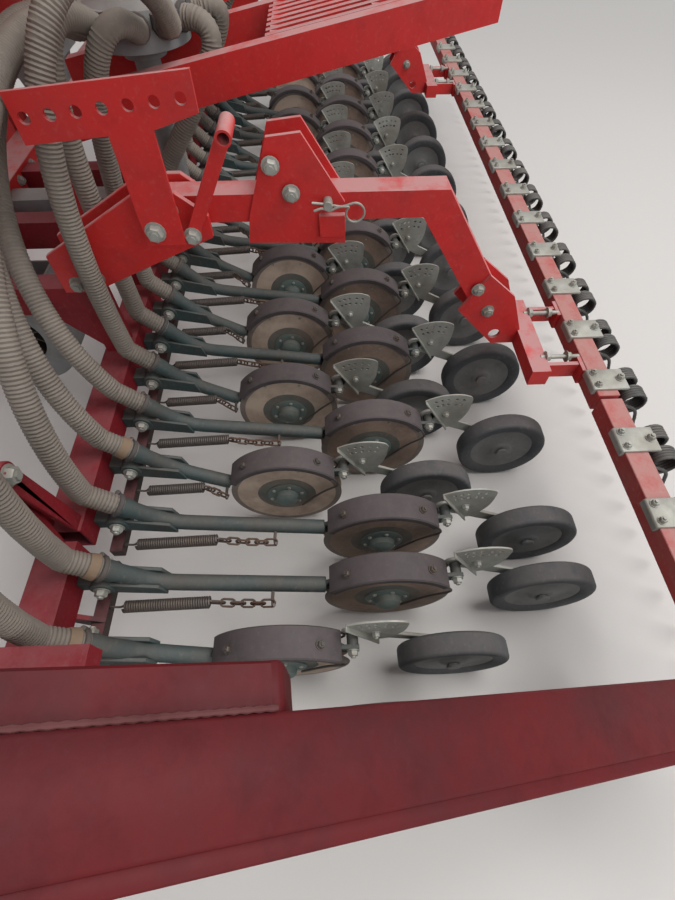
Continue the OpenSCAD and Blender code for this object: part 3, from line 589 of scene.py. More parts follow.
def makeCoulterArm(rear):
    # Seed tube with neck, socket, brackets, hanger plate and spring, drawn at X 0
    a = coulterArm
    cy, cz = rowPlan["step"] if rear else 0.0, rowPlan["discZ"]
    bossY, bossZ = a["boss"]
    heelY, heelZ = a["heel"]
    tipY, tipZ = cy + a["tip"][rear][0], a["tip"][rear][1]
    socket, heel, tip = inPlane(0, a["socket"]), inPlane(0, a["heel"]), inPlane(0, (tipY, tipZ))
    arm = Shape()
    neck = [socket + lean * 0.004, heel - lean * 0.004, tip]
    tube(arm, rounded(neck, 0.05, 8), a["tubeRadius"], 20)
    # Neck that the hose is pushed over
    neckRadii = [a["tubeRadius"], a["tubeRadius"] + 0.001, a["socketRadius"], a["socketRadius"]]
    tube(arm, [heel, socket - lean * 0.012, socket, socket + lean * a["socketLength"]], neckRadii, 24)
    # Bracket plates, boss and bar to the toolbar
    inner, outer = a["bracket"]
    outline = [(bossY - 0.010, bossZ - 0.022), (bossY - 0.004, bossZ + 0.022), (heelY + 0.014, heelZ + 0.024),
               (heelY + 0.024, heelZ - 0.016)]
    prism(arm, outline, -outer, -inner)
    prism(arm, outline, inner, outer)
    rod(arm, (-a["bossHalf"], *a["boss"]), (a["bossHalf"], *a["boss"]), a["bossRadius"], 28, 0.002)
    barX, barZ = a["barHalf"]
    bar = [(a["barFront"], bossZ - barZ), (bossY, bossZ - barZ), (bossY, bossZ + barZ),
           (a["barFront"], bossZ + barZ)]
    prism(arm, bar, -barX, barX)
    # Hanger plate between the discs: end at the tube, plate with its arc-shaped back, end at the press arm
    half = a["hangerHalf"]
    first, last = a["backTurns"]
    linkY, linkZ = cy + a["pressLink"][0], cz + a["pressLink"][1]
    prism(arm, [(tipY - 0.010, tipZ - 0.012), (cy - 0.100, cz + 0.090), (cy - 0.112, cz + 0.104),
                (tipY - 0.010, tipZ + 0.012)], -half, half)
    prism(arm, arcPoints(a["backRadius"], first, last, 14, cy, cz)
          + [(cy + 0.100, cz + 0.100), (cy + 0.022, cz - 0.028), (cy - 0.022, cz - 0.028)], -half, half)
    prism(arm, [(cy + 0.055, cz + 0.062), (linkY + 0.014, linkZ - 0.014), (linkY + 0.014, linkZ + 0.012),
                (cy + 0.070, cz + 0.100)], -half, half)
    axleHalf, axleRadius = a["axle"]
    rod(arm, (-axleHalf, cy, cz), (axleHalf, cy, cz), axleRadius)
    pinX, pinRadius = a["pressPin"]
    rod(arm, (pinX, linkY, linkZ), (half, linkY, linkZ), pinRadius)
    # The chain ends two thirds down a rear arm's tube, and at a front arm's tip
    spot = heel.lerp(tip, 0.68)
    lug = (spot.y, spot.z) if rear else (tipY - 0.006, tipZ + 0.002)
    springAndChain(arm, lug, rear)
    # Bolts of the boss, of the press wheel's arm and of the fender's holders
    arm.skin = 3
    bolt(arm, (a["bossHalf"], *a["boss"]), (1, 0, 0), *a["bossNut"])
    bolt(arm, (-a["bossHalf"], *a["boss"]), (-1, 0, 0), *a["bossNut"])
    bolt(arm, (half, linkY, linkZ), (1, 0, 0), *a["pressNut"])
    for y, z in a["hangerBolts"]:
        bolt(arm, (half, cy + y, cz + z), (1, 0, 0), *a["hangerNut"])
    return arm


oneArm = {rear: makeCoulterArm(rear) for rear in (True, False)}
for section, (first, last, body) in sections.items():
    arms = Shape()
    for k in range(first, last):
        arms.copy(oneArm[isRear(k)], (rowX(k), 0, 0))
    node = nodeName("coulter_arms", section)
    makePiece("seedTubes" + section.capitalize(), arms, ["darkTeal", "springSteel", "chainRust", "zincPlate"],
              body, [node])
print("coulter arms made")

# Fenders: bent strips over the discs with turned-down edges and two bolts
fenderPlan = {
    "radius": 0.166,
    "thick": 0.005,
    "width": 0.068,
    "lip": 0.011,
    "edge": 0.003,
    "front": 146,  # degrees
    "rear": 38,
    "steps": 22,
    "boltTurns": (126, 58),
    "bolt": (0.015, 0.007, 0.003),  # size and thickness of the nut, and the bolt's end
    # Wire beside each disc that scrapes it, from the disc's axle
    "scraper": [(0.030, 0.128, 0.104), (0.031, 0.150, 0.070), (0.024, 0.100, 0.020), (0.020, 0.040, -0.060)],
    "scraperWire": 0.0028,
}


def makeFender():
    # Drawn from the disc's axle
    f = fenderPlan
    fender = Shape()
    half, edge, steps = f["width"] / 2, f["edge"], f["steps"]
    top, bottom = f["radius"] + f["thick"], f["radius"] - f["lip"]
    section = [(-half, bottom), (-half, top - edge), (-half + edge, top), (half - edge, top),
               (half, top - edge), (half, bottom), (half - edge, bottom), (half - edge, f["radius"]),
               (-half + edge, f["radius"]), (-half + edge, bottom)]
    points = []
    for i in range(steps + 1):
        turn = math.radians(f["front"] + (f["rear"] - f["front"]) * i / steps)
        points += [(x, r * math.cos(turn), r * math.sin(turn)) for x, r in section]
    fender.add(points, ringFaces(steps + 1, len(section)) + endFaces(steps + 1, len(section)))
    fender.skin = 1
    for degrees in f["boltTurns"]:
        aim = inPlane(0, onArc(1, degrees))
        bolt(fender, Vector((0.004, 0, 0)) + aim * top, aim, *f["bolt"])
    for side in (-1, 1):
        wire = [(side * x, y, z) for x, y, z in f["scraper"]]
        tube(fender, rounded(wire, 0.03), f["scraperWire"], 6)
    return fender


oneFender = makeFender()
for section, (first, last, body) in sections.items():
    fenders = Shape()
    for k in range(first, last):
        fenders.copy(oneFender, (rowX(k), discY(k), rowPlan["discZ"]))
    node = nodeName("fenders", section)
    makePiece("discFenders" + section.capitalize(), fenders, ["fenderSteel", "springSteel"], body,
              [node])
print("fenders made")

# Press wheel arms: side bar, fan-shaped depth plate with punched holes and a bent edge
pressArm = {
    "side": -0.031,  # the bar's face towards the wheel
    "thick": 0.008,
    "press": (rowPlan["pressBack"], rowPlan["pressZ"] - rowPlan["discZ"]),  # the wheel's axle from the disc's
    "axle": (0.029, 0.010),  # the axle's end, and its radius
    "cap": (0.024, 0.031, 0.017),  # from, to and radius
    "fan": (0.064, -0.050),  # the fan's lower corner, from the link
    "fanRadius": 0.146,
    "fanTurns": (122, 80),  # degrees
    "holeRows": (0.126, 0.106),
    "holeTurns": (113, 105, 97, 86, 77),
    "holeRadius": 0.0050,
    "plate": 0.004,
    "lip": 0.015,
    "boltPlace": (0.052, 0.012),  # from the link
    "nut": (0.016, 0.008),
}


def makePressArm():
    # Drawn from the disc's axle
    a = pressArm
    arm = Shape()
    link, press, face = Vector(coulterArm["pressLink"]), Vector(a["press"]), a["side"]
    run = (press - link).normalized()
    across = Vector((-run.y, run.x))
    bar = [link + across * 0.019, press + across * 0.013 - run * 0.004, press + run * 0.016 + across * 0.006,
           press + run * 0.016 - across * 0.006, press - across * 0.013 - run * 0.004, link - across * 0.019]
    prism(arm, [tuple(p) for p in bar], face - a["thick"], face)
    rod(arm, (face - a["thick"], *link), (face, *link), 0.024, 24)
    apex = link + Vector(a["fan"])
    first, last = a["fanTurns"]
    rim = arcPoints(a["fanRadius"], first, last, 10, *apex)
    end = Vector(rim[-1])
    fall = [end, end + Vector((0.030, -0.010)), link + Vector((0.116, 0.010)), link + Vector((0.084, -0.044))]
    fall = [(p.y, p.z) for p in rounded([(0, *p) for p in fall], 0.034)]
    holes = []
    for radius in a["holeRows"]:
        for turn in a["holeTurns"]:
            holes.append(arcPoints(a["holeRadius"], 0, 315, 8, *onArc(radius, turn, *apex)))
    punched(arm, [tuple(apex)] + rim[:-1] + fall, holes, face, face + a["plate"])
    # Edge bent towards the disc along the plate's front
    top = Vector(rim[0])
    lip = (top - apex).normalized()
    out = Vector((-lip.y, lip.x)) * a["plate"]
    edge = [tuple(apex), tuple(top), tuple(top + out), tuple(apex + out)]
    prism(arm, edge, face - 0.001, face + a["lip"], 0.0008)
    axleEnd, axleRadius = a["axle"]
    rod(arm, (face, *press), (axleEnd, *press), axleRadius, 16)
    bolt(arm, (face + a["plate"], *(link + Vector(a["boltPlace"]))), (1, 0, 0), *a["nut"])
    arm.skin = 1
    capFrom, capTo, capRadius = a["cap"]
    rod(arm, (capFrom, *press), (capTo, *press), capRadius, 24)
    return arm


onePressArm = makePressArm()
for section, (first, last, body) in sections.items():
    pressArms = Shape()
    for k in range(first, last):
        pressArms.copy(onePressArm, (rowX(k), discY(k), rowPlan["discZ"]))
    node = nodeName("press_arms", section)
    makePiece("pressArms" + section.capitalize(), pressArms, ["zincPlate", "wheelDisc"], body,
              [node])
print("press arms made")

# Press wheels: rubber ring on a dished disc with a raised hub
pressWheel = {"radius": 0.130, "half": 0.025, "rim": 0.092, "shoulder": 0.010, "bore": 0.0105}


def makePressWheel():
    w = pressWheel
    r, h, soft = w["radius"], w["half"], w["shoulder"]
    wheel = Shape()
    shoulder = [(h - soft + soft * math.sin(t), r - soft + soft * math.cos(t))
                for t in (math.radians(12 + 78 * i / 5) for i in range(6))]
    flank = [(h - 0.001, r - 0.022), (h - 0.005, w["rim"] + 0.003), (h - 0.008, w["rim"])]
    outer = [(0.0, r)] + shoulder + flank
    ring = [(-x, q) for x, q in outer[::-1]] + outer[1:]
    lathe(wheel, (0, 0, 0), ring + ring[:1], 56)
    # Dished disc, both faces, with a pressed ring round the hub
    wheel.skin = 1
    face = [(h - 0.008, w["rim"] + 0.002), (h - 0.009, w["rim"] - 0.006), (0.013, 0.076), (0.012, 0.060),
            (0.014, 0.054), (0.014, 0.036), (0.019, 0.030), (0.021, 0.027), (0.021, w["bore"])]
    dish = face + [(-x, q) for x, q in face[::-1]]
    lathe(wheel, (0, 0, 0), dish + dish[:1], 40)
    return wheel


# Coulter discs: x is counted from the middle of the pair
discPlan = {
    "radius": 0.155,
    "inside": 0.012,
    "face": 0.015,
    "bevelFrom": 0.146,  # radius inside which the disc has its full thickness
    "soilTo": 0.138,
    "paintTo": 0.082,
    "bore": 0.0107,
    "rivets": 6,
    "rivetCircle": 0.045,
}


def makeDiscHub(side):
    # Sharpened disc with a worn rim and a soiled face, flange ring, cap and rivets, drawn at X 0
    d = discPlan
    hub = Shape()
    low, face, radius, bore = d["inside"], d["face"], d["radius"], d["bore"]
    soil, paint = d["soilTo"], d["paintTo"]
    tipEdge = (low + 0.0002, radius - 0.0005)
    zones = [(2, [tipEdge, (low + 0.0006, radius), (face, d["bevelFrom"]), (face, soil)]),
             (3, [(face, soil), (face, 0.120), (face, 0.100), (face, paint)]),
             (4, [(face, paint), (face, 0.070), (face, bore)]),
             (3, [(face, bore), (low, bore), (low, 0.100), (low, radius - 0.002), tipEdge])]
    for skin, profile in zones:
        hub.skin = skin
        lathe(hub, (0, 0, 0), [(side * x, r) for x, r in profile], 64)
    hub.skin = 0
    cap = [(-0.001, 0.056), (0.003, 0.056), (0.005, 0.053), (0.006, 0.034), (0.020, 0.031), (0.021, 0.029),
           (0.024, 0.026), (0.028, 0.018), (0.030, 0.008), (0.030, 0.0001)]
    lathe(hub, (0, 0, 0), [(side * (face + x), r) for x, r in cap], 32)
    hub.skin = 1
    dome = [(0.005, 0.0055), (0.008, 0.0050), (0.0095, 0.003), (0.010, 0.0001)]
    for i in range(d["rivets"]):
        turn = 2 * math.pi * (i + 0.3) / d["rivets"]
        centre = (0, d["rivetCircle"] * math.cos(turn), d["rivetCircle"] * math.sin(turn))
        lathe(hub, centre, [(side * (face + x), r) for x, r in dome], 8)
    return hub


oneWheel = makePressWheel()
hubSides = [makeDiscHub(side) for side in (-1, 1)]
for section, (first, last, body) in sections.items():
    tail = "" if section == "mid" else "_" + section
    for place, rear, soil in (("front", False, "discSoil"), ("rear", True, "discBrown")):
        hubs, wheels = Shape(), Shape()
        for k in range(first, last):
            if isRear(k) == rear:
                for hub in hubSides:
                    hubs.copy(hub, (rowX(k), discY(k), rowPlan["discZ"]))
                wheels.copy(oneWheel, (rowX(k), discY(k) + rowPlan["pressBack"], rowPlan["pressZ"]))
        title = place + section.capitalize()
        makePiece("coulterDiscs" + title, hubs, ["hubTeal", "zincPlate", "discRim", soil, "discCentre"],
                  f"{place}_disc_row{tail}", [f"{place}_discs{tail}"])
        node = f"{place}_press_wheels{tail}"
        makePiece("pressWheels" + title, wheels, ["rubberBlack", "wheelDisc"], f"{place}_press_row{tail}",
                  [node])
print("wheels made")

# Seed hoses from the two distributor heads to the sockets. All but the swept ones follow the frame's solids.
hosePlan = {
    "towerX": 0.45,
    "headY": -0.30,
    "headZ": 0.955,
    "headHeight": 0.100,
    "headRadius": 0.120,
    "radius": 0.025,
    "gap": 0.0003,  # between the hose's ends and the solids that they meet
    "steps": 40,
    "ribPitch": 0.0078,
    "ribDepth": 0.0018,
    "over": 0.040,  # how far the hose is pushed over its socket
    "lead": 0.035,  # straight piece at the head
    "tail": 0.045,  # straight piece at the socket
    "taped": (0, 1, 2, 4),  # rows whose hose is taped above the clip
    "tapeRadius": 0.0265,
    "tapeGrow": 0.0012,
    "tapeStep": 0.010,
    "clipRadius": 0.0282,
    "clipPlaces": (0.002, 0.004, 0.012, 0.014),  # along the hose
    "screwOut": 0.026,
    "screwEnds": (-0.012, 0.016),
    "screwRadius": 0.006,
    "sides": {"near": 16, "mid": 10, "far": 10},
    "smooth": 38,
    # Pull of the curve at the head. Reach is how far a row stands outwards of its head.
    "run": 0.100,
    "rise": 0.040,
    "risePerReach": 0.3,
    "riseBehind": 0.240,  # for outlets that face away from the row
    "swing": (0.040, 0.170),  # in Y, for rows farther than one row from the head and for the others
    # Pull at the socket
    "bendShare": 0.7,  # of the height from the socket to the head
    "bendPerReach": 0.45,
    "bendFront": 0.010,
    # Hoses that sweep along the hopper's rear wall: Y and Z of the curve's two inner points
    "sweeps": {4: ((-0.560, 1.100), (-0.560, 0.930)), 5: ((-0.640, 1.000), (-0.620, 0.880))},
    # Direction of the outlet in degrees, shift of the bend in X and its lift, from the outermost row inwards
    "outlets": [(180, 0, 0.080), (125, 0, 0.120), (-125, 0.020, 0.120), (-42, 0, -0.330), (-69, 0, -0.230),
                (-97, 0, -0.060), (42, 0.045, 0.260), (-14, -0.010, 0.060), (14, 0, 0.060), (69, 0, -0.200),
                (97, -0.040, -0.200), (152, 0, 0), (-152, 0, 0)],
}


def hoseRoute(k):
    h = hosePlan
    side = 1 if rowX(k) > 0 else -1
    inwards = min(k, rowPlan["count"] - 1 - k)
    angle, shift, lift = h["outlets"][inwards]
    out = Vector((side * math.cos(math.radians(angle)), math.sin(math.radians(angle)), 0))
    mouth = inPlane(rowX(k), coulterArm["socket"]) + lean * (coulterArm["socketLength"] + h["gap"])
    into = mouth + lean * h["tail"]
    reach = max(abs(rowX(k)) - h["towerX"], 0)
    run = h["run"] + max(0, math.cos(math.radians(angle))) * reach / 2
    rise = h["rise"]
    if reach > 0:
        rise += h["risePerReach"] * reach + (h["riseBehind"] if abs(angle) > 90 else 0) + min(lift, 0) / 2
    head = Vector((side * h["towerX"], h["headY"], h["headZ"] + h["headHeight"] / 2))
    start = head + out * (h["headRadius"] + h["gap"])
    begin = start + out * h["lead"]
    swing = h["swing"][0] if reach > rowPlan["pitch"] else h["swing"][1]
    pull = begin + Vector((out.x * run, out.y * swing, rise))
    bendZ = into.z + h["bendShare"] * (h["headZ"] - mouth.z) + h["bendPerReach"] * reach + lift
    bend = Vector((rowX(k) + side * shift, into.y - h["bendFront"], bendZ))
    if inwards in h["sweeps"]:
        (pull.y, pull.z), (bend.y, bend.z) = h["sweeps"][inwards]
    curve = []
    for i in range(h["steps"] + 1):
        t = i / h["steps"]
        curve.append(begin * (1 - t) ** 3 + pull * 3 * t * (1 - t) ** 2 + bend * 3 * t * t * (1 - t)
                     + into * t ** 3)
    return [start] + curve + [mouth - lean * h["over"]]


def evenPath(path, step):
    # The path again, with points at even steps
    lengths = [(b - a).length for a, b in zip(path, path[1:])]
    total = sum(lengths)
    count = max(2, round(total / step))
    even, i, done = [], 0, 0.0
    for n in range(count + 1):
        want = total * n / count
        while i < len(lengths) - 1 and done + lengths[i] < want:
            done += lengths[i]
            i += 1
        even.append(path[i].lerp(path[i + 1], min(1, (want - done) / lengths[i])))
    return even


def hoseClip(shape, spot, ahead):
    # Band round the hose, from spot along ahead, with its upright screw
    h = hosePlan
    tube(shape, [spot + ahead * d for d in h["clipPlaces"]],
         [h["radius"], h["clipRadius"], h["clipRadius"], h["radius"]], 20)
    side = ahead.cross(Vector((0, 0.3, 1))).normalized()
    middle = (h["clipPlaces"][0] + h["clipPlaces"][-1]) / 2
    screw = spot + ahead * middle + side * h["screwOut"]
    low, high = (screw + Vector((0, 0, z)) for z in h["screwEnds"])
    rod(shape, low, high, h["screwRadius"], 10)


def ribbedHose(shape, path, sides, taped):
    h = hosePlan
    ends = evenPath(path, h["ribPitch"] / 2)
    shape.skin = 0
    radii = [h["radius"] - (h["ribDepth"] if i % 2 else 0) for i in range(len(ends))]
    tube(shape, ends, radii, sides)
    if taped:
        shape.skin = 1
        wrap = evenPath(path, h["tapeStep"])[-5:-2]  # two steps long, above the clip
        tube(shape, wrap, [h["tapeRadius"] + h["tapeGrow"] * i for i in range(len(wrap))], sides)
    shape.skin = 2
    hoseClip(shape, path[-1], lean)
    hoseClip(shape, path[0], (path[1] - path[0]).normalized())


for section, (first, last, body) in sections.items():
    hoses = Shape()
    for k in range(first, last):
        ribbedHose(hoses, hoseRoute(k), hosePlan["sides"][section], k in hosePlan["taped"])
    node = nodeName("seed_hoses", section)
    piece = makePiece("ribbedHoses" + section.capitalize(), hoses, ["hoseGrey", "hoseTape", "clipDark"],
                      body if section == "mid" else None, [node], hosePlan["smooth"])
    if section != "mid":
        side = 1 if section == "near" else -1
        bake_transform(piece)
print("hoses made")

# Coil tines with their clamps on the harrow bars
harrowPlan = {
    "y": 0.835,
    "z": 0.405,
    "size": 0.055,
    "pitch": 0.190,
    "midCount": 6,  # tine pairs on each side of the middle one
    "endFirst": 7,
    "endLast": 9,
    "endX": 1.974,  # the outermost pair
    "clampHalf": 0.034,
    "clampThick": 0.007,
    "wire": 0.0044,
    "coil": (0.051, -0.010),  # its centre from the bar's rear face, y and z
    "coilRadius": 0.0305,
    "coilTurns": 5,
    "coilSteps": 20,
    "coilPitch": 0.0074,
    "bridgeHalf": 0.014,
    "tipBack": 0.223,
    "tipZ": 0.036,
    "frontNut": (0.014, 0.008),
    "rearNut": (0.016, 0.010),
}


def makeTinePair():
    # Drawn from the bar's middle
    h = harrowPlan
    face, thick, radius, bridge = h["size"] / 2, h["clampThick"], h["coilRadius"], h["bridgeHalf"]
    coilY, coilZ = face + h["coil"][0], h["coil"][1]
    tine = Shape()
    # Galvanised clamp plate, bent down over the bar's front edge, with three bolts and a strap behind the bar
    tine.skin = 1
    clamp = [(-face - 0.010, face - 0.014), (-face, face - 0.014), (-face, face), (face + 0.028, face),
             (face + 0.028, face + thick), (-face - 0.007, face + thick), (-face - 0.010, face + 0.003)]
    prism(tine, clamp, -h["clampHalf"], h["clampHalf"])
    for x in (-0.020, 0.020):
        bolt(tine, (x, -face + 0.006, face + thick), (0, 0, 1), *h["frontNut"])
    bolt(tine, (0, face + 0.013, face + thick), (0, 0, 1), *h["rearNut"])
    strap = [(face + 0.006, -0.016), (face + 0.020, -0.016), (face + 0.020, face), (face + 0.006, face)]
    prism(tine, strap, -0.009, 0.009)
    # Two wires with leg and coil, and the bridge between them
    tine.skin = 0
    tipDrop = h["tipZ"] - h["z"]
    for side in (-1, 1):
        path = []
        for i in range(h["coilTurns"] * h["coilSteps"] + 1):
            t = 2 * math.pi * i / h["coilSteps"]
            x = side * (bridge + h["coilPitch"] * i / h["coilSteps"])
            path.append(Vector((x, coilY - radius * math.cos(t), coilZ + radius * math.sin(t))))
        leg = [path[-1], Vector((side * 0.052, coilY + radius - 0.012, coilZ - 0.020)),
               Vector((side * 0.046, h["tipBack"] - 0.020, tipDrop + 0.060)),
               Vector((side * 0.046, h["tipBack"], tipDrop))]
        path += rounded(leg, 0.03)[1:]
        tube(tine, path, h["wire"], 8)
    lead = coilY - radius
    tube(tine, [(-bridge, lead, coilZ), (bridge, lead, coilZ)], h["wire"], 8)
    return tine


oneTine = makeTinePair()
harrowBodies = {"mid": "harrow", "near": "harrow_end_near", "far": "harrow_end_far"}
midTines = range(-harrowPlan["midCount"], harrowPlan["midCount"] + 1)
endTines = range(harrowPlan["endFirst"], harrowPlan["endLast"] + 1)
tinePlaces = {
    "mid": [i * harrowPlan["pitch"] for i in midTines],
    "near": [i * harrowPlan["pitch"] for i in endTines] + [harrowPlan["endX"]],
}
tinePlaces["far"] = [-x for x in tinePlaces["near"]]
for section, body in harrowBodies.items():
    tines = Shape()
    for x in tinePlaces[section]:
        tines.copy(oneTine, (x, harrowPlan["y"], harrowPlan["z"]))
    node = nodeName("harrow_tines", section)
    makePiece("coilTines" + section.capitalize(), tines, ["tineBlack", "zincPlate"], body,
              [node])
print("tines made")

# Bolts, pins and small fittings on the harrow's arms
armPlan = {
    "x": 0.900,
    "plate": 0.040,  # from the arm's middle to its plates' outer faces
    "boltPlaces": [(0.025, 0.885), (0.062, 0.830)],
    "nut": (0.026, 0.013),
    "spacer": 0.009,
    "pin": (0.138, 0.808),
    "pinRadius": 0.010,
    "clipWire": 0.0026,
    "adjustBolts": [(0.519, 0.571), (0.561, 0.502)],
    "adjustNut": (0.024, 0.011),
    "links": (-0.034, 0.144),  # X of the screws from the arm
    "linkY": (0.700, 0.714, 0.770, 0.806),  # end, nut, nut and end
    "linkZ": 0.427,
    "linkNut": (0.022, 0.011, 0.001),
    "tab": [(0.118, 0.731), (0.176, 0.731), (0.176, 0.782), (0.118, 0.782)],
}


def springClip(shape, x, spot):
    # Spring cotter: straight leg through the pin, bowed leg with a loop
    y, z = spot
    path = [(x, y - 0.034, z + 0.004), (x, y - 0.010, z + 0.001), (x, y + 0.030, z - 0.006)]
    steps = 16
    for i in range(steps + 1):
        turn = math.radians(100 - 330 * i / steps)
        path.append((x + 0.0004 * i, y + 0.058 + 0.020 * math.cos(turn), z - 0.018 + 0.020 * math.sin(turn)))
    path += [(x + 0.006, y + 0.022, z - 0.002), (x + 0.006, y + 0.004, z - 0.012),
             (x + 0.006, y - 0.012, z - 0.004), (x + 0.005, y - 0.030, z - 0.011)]
    tube(shape, rounded(path, 0.008, 4), armPlan["clipWire"], 8)


fittings, armTabs = Shape(), Shape()
for side in (1, -1):
    out = side * (armPlan["x"] + armPlan["plate"])
    back = side * (armPlan["x"] - armPlan["plate"])
    spacer = side * armPlan["spacer"]
    for y, z in armPlan["boltPlaces"]:
        bolt(fittings, (out + spacer, y, z), (side, 0, 0), *armPlan["nut"])
        bolt(fittings, (back - spacer, y, z), (-side, 0, 0), *armPlan["nut"])
    y, z = armPlan["pin"]
    rod(fittings, (back - side * 0.012, y, z), (out + side * 0.024, y, z), armPlan["pinRadius"], 16)
    springClip(fittings, out + side * 0.015, armPlan["pin"])
    for y, z in armPlan["adjustBolts"]:
        bolt(fittings, (out, y, z), (side, 0, 0), *armPlan["adjustNut"])
        bolt(fittings, (back, y, z), (-side, 0, 0), *armPlan["adjustNut"])
    first, *nuts, last = armPlan["linkY"]
    z = armPlan["linkZ"]
    for dx in armPlan["links"]:
        x = side * (armPlan["x"] + dx)
        rod(fittings, (x, first, z), (x, last, z), 0.006, 10)
        for y in nuts:
            bolt(fittings, (x, y, z), (0, 1, 0), *armPlan["linkNut"])
    low, high = sorted((out - side * 0.002, out + side * 0.012))
    prism(armTabs, armPlan["tab"], low, high, 0.002)
makePiece("harrowArmBolts", fittings, ["zincPlate"], "harrow")
makePiece("harrowArmTabs", armTabs, ["brightRed"], "harrow")

# Bolts of the brackets, hinges, toolbar and beams, which ride on the frame
boltPlan = {
    "cheekX": 0.948,
    "cheeks": [(-0.200, 0.800), (-0.420, 0.640), (-0.470, 0.625)],
    "pivot": (1.012, -0.220, 0.790),
    "foldX": 1.500,
    "foldZ": 0.640,
    "fold": [(-0.504, -1), (-0.436, 1)],  # y, and the side to which the bolt looks
    "beamRows": (-6, -4, -2, 2, 4, 6),
    "beamY": -0.830,
    "beamZ": (0.535, 0.585),
    "beamHalf": 0.054,
    "legX": 0.90,
    "legHalf": 0.045,
    "legY": (-0.900, -0.680),
    "legZ": 0.892,
    # Size and thickness of the nuts
    "cheekNut": (0.028, 0.014),
    "pivotNut": (0.030, 0.014),
    "beamNut": (0.022, 0.010),
    "legNut": (0.020, 0.010),
}
frameBolts = Shape()
for side in (1, -1):
    for y, z in boltPlan["cheeks"]:
        bolt(frameBolts, (side * boltPlan["cheekX"], y, z), (side, 0, 0), *boltPlan["cheekNut"])
    x, y, z = boltPlan["pivot"]
    bolt(frameBolts, (side * x, y, z), (side, 0, 0), *boltPlan["pivotNut"])
    for y, way in boltPlan["fold"]:
        place = (side * boltPlan["foldX"], y, boltPlan["foldZ"])
        bolt(frameBolts, place, (0, way, 0), *boltPlan["pivotNut"])
for n in boltPlan["beamRows"]:
    for z in boltPlan["beamZ"]:
        for dx in (-boltPlan["beamHalf"], boltPlan["beamHalf"]):
            x = n * rowPlan["pitch"] + dx
            bolt(frameBolts, (x, boltPlan["beamY"], z), (0, 1, 0), *boltPlan["beamNut"])
for x in (-boltPlan["legX"], boltPlan["legX"]):
    for dx in (-boltPlan["legHalf"], boltPlan["legHalf"]):
        for y in boltPlan["legY"]:
            bolt(frameBolts, (x + dx, y, boltPlan["legZ"]), (0, 0, -1), *boltPlan["legNut"])
makePiece("frameBolts", frameBolts, ["zincPlate"], "frame")
print("fittings made")

# Hopper: rivets along the rear rim, two latches, and two handles on the lid
hopperPlan = {
    "wall": -0.490,  # Y of the rear rim's face
    "rivets": 24,
    "rivetEnd": 1.110,
    "rivetZ": 1.505,
    "latchX": 0.75,
    "latchHalf": 0.030,
    "handle": [(-0.07, -0.475, 1.510), (-0.07, -0.440, 1.500), (0.07, -0.440, 1.500), (0.07, -0.475, 1.510)],
}
hopperTrim, lidTrim = Shape(), Shape()
wall = hopperPlan["wall"]
for i in range(hopperPlan["rivets"]):
    x = hopperPlan["rivetEnd"] * (2 * i / (hopperPlan["rivets"] - 1) - 1)
    z = hopperPlan["rivetZ"]
    tube(hopperTrim, [(x, wall, z), (x, wall + 0.003, z), (x, wall + 0.005, z)], [0.007, 0.006, 0.003], 10)
for x in (-hopperPlan["latchX"], hopperPlan["latchX"]):
    latch = [(wall, 1.420), (wall + 0.012, 1.430), (wall + 0.012, 1.480), (wall, 1.490)]
    prism(hopperTrim, latch, x - hopperPlan["latchHalf"], x + hopperPlan["latchHalf"])
    rod(hopperTrim, (x - 0.022, wall + 0.016, 1.470), (x + 0.022, wall + 0.016, 1.470), 0.006, 10)
    handle = [(x + dx, y, z) for dx, y, z in hopperPlan["handle"]]
    tube(lidTrim, rounded(handle, 0.02), 0.006, 10)
makePiece("hopperTrim", hopperTrim, ["zincPlate"], "frame")
makePiece("lidHandles", lidTrim, ["springSteel"], "lid")
print("hopper trim made")

# Crank: flat bar on the pin of the harrow bracket, with an open tube as its handle
crankPlan = {
    "pin": (-0.150, 0.770),
    "elbow": (-0.040, 0.975),
    "x": 0.984,
    "thick": 0.012,
    "halfWidth": 0.014,
    "cheek": 0.948,  # X where the pin starts
    # The grip ends outside the harrow arm's bolts, which pass it when the harrow lifts
    "grip": (1.050, 0.976),
    "gripRadius": (0.0105, 0.0145),  # inside and outside
    "pinRadius": 0.012,
    "nut": (0.026, 0.013),
}


def makeCrank(side):
    c = crankPlan
    crank = Shape()
    pin, elbow = Vector(c["pin"]), Vector(c["elbow"])
    along = (elbow - pin).normalized()
    across = Vector((-along.y, along.x)) * c["halfWidth"]
    ends = [pin - along * 0.020 + across, pin - along * 0.020 - across, elbow + along * 0.004 - across,
            elbow + along * 0.010, elbow + along * 0.004 + across]
    face = c["x"] + c["thick"]
    low, high = sorted((side * c["x"], side * face))
    prism(crank, [tuple(p) for p in ends], low, high)
    rod(crank, (side * c["cheek"], *pin), (side * (c["x"] + 0.004), *pin), c["pinRadius"], 20)
    near, far = (side * x for x in c["grip"])
    inside, outside = c["gripRadius"]
    grip = [(near, inside), (near, outside), (far, outside), (far, inside), (near, inside)]
    lathe(crank, (0, *elbow), grip, 28)
    crank.skin = 1
    bolt(crank, (side * face, *pin), (side, 0, 0), *c["nut"])
    return crank


cranks = Shape()
for side in (1, -1):
    cranks.copy(makeCrank(side))
makePiece("crankHandles", cranks, ["brightRed", "zincPlate"], "frame",
          ["crank_handle"])

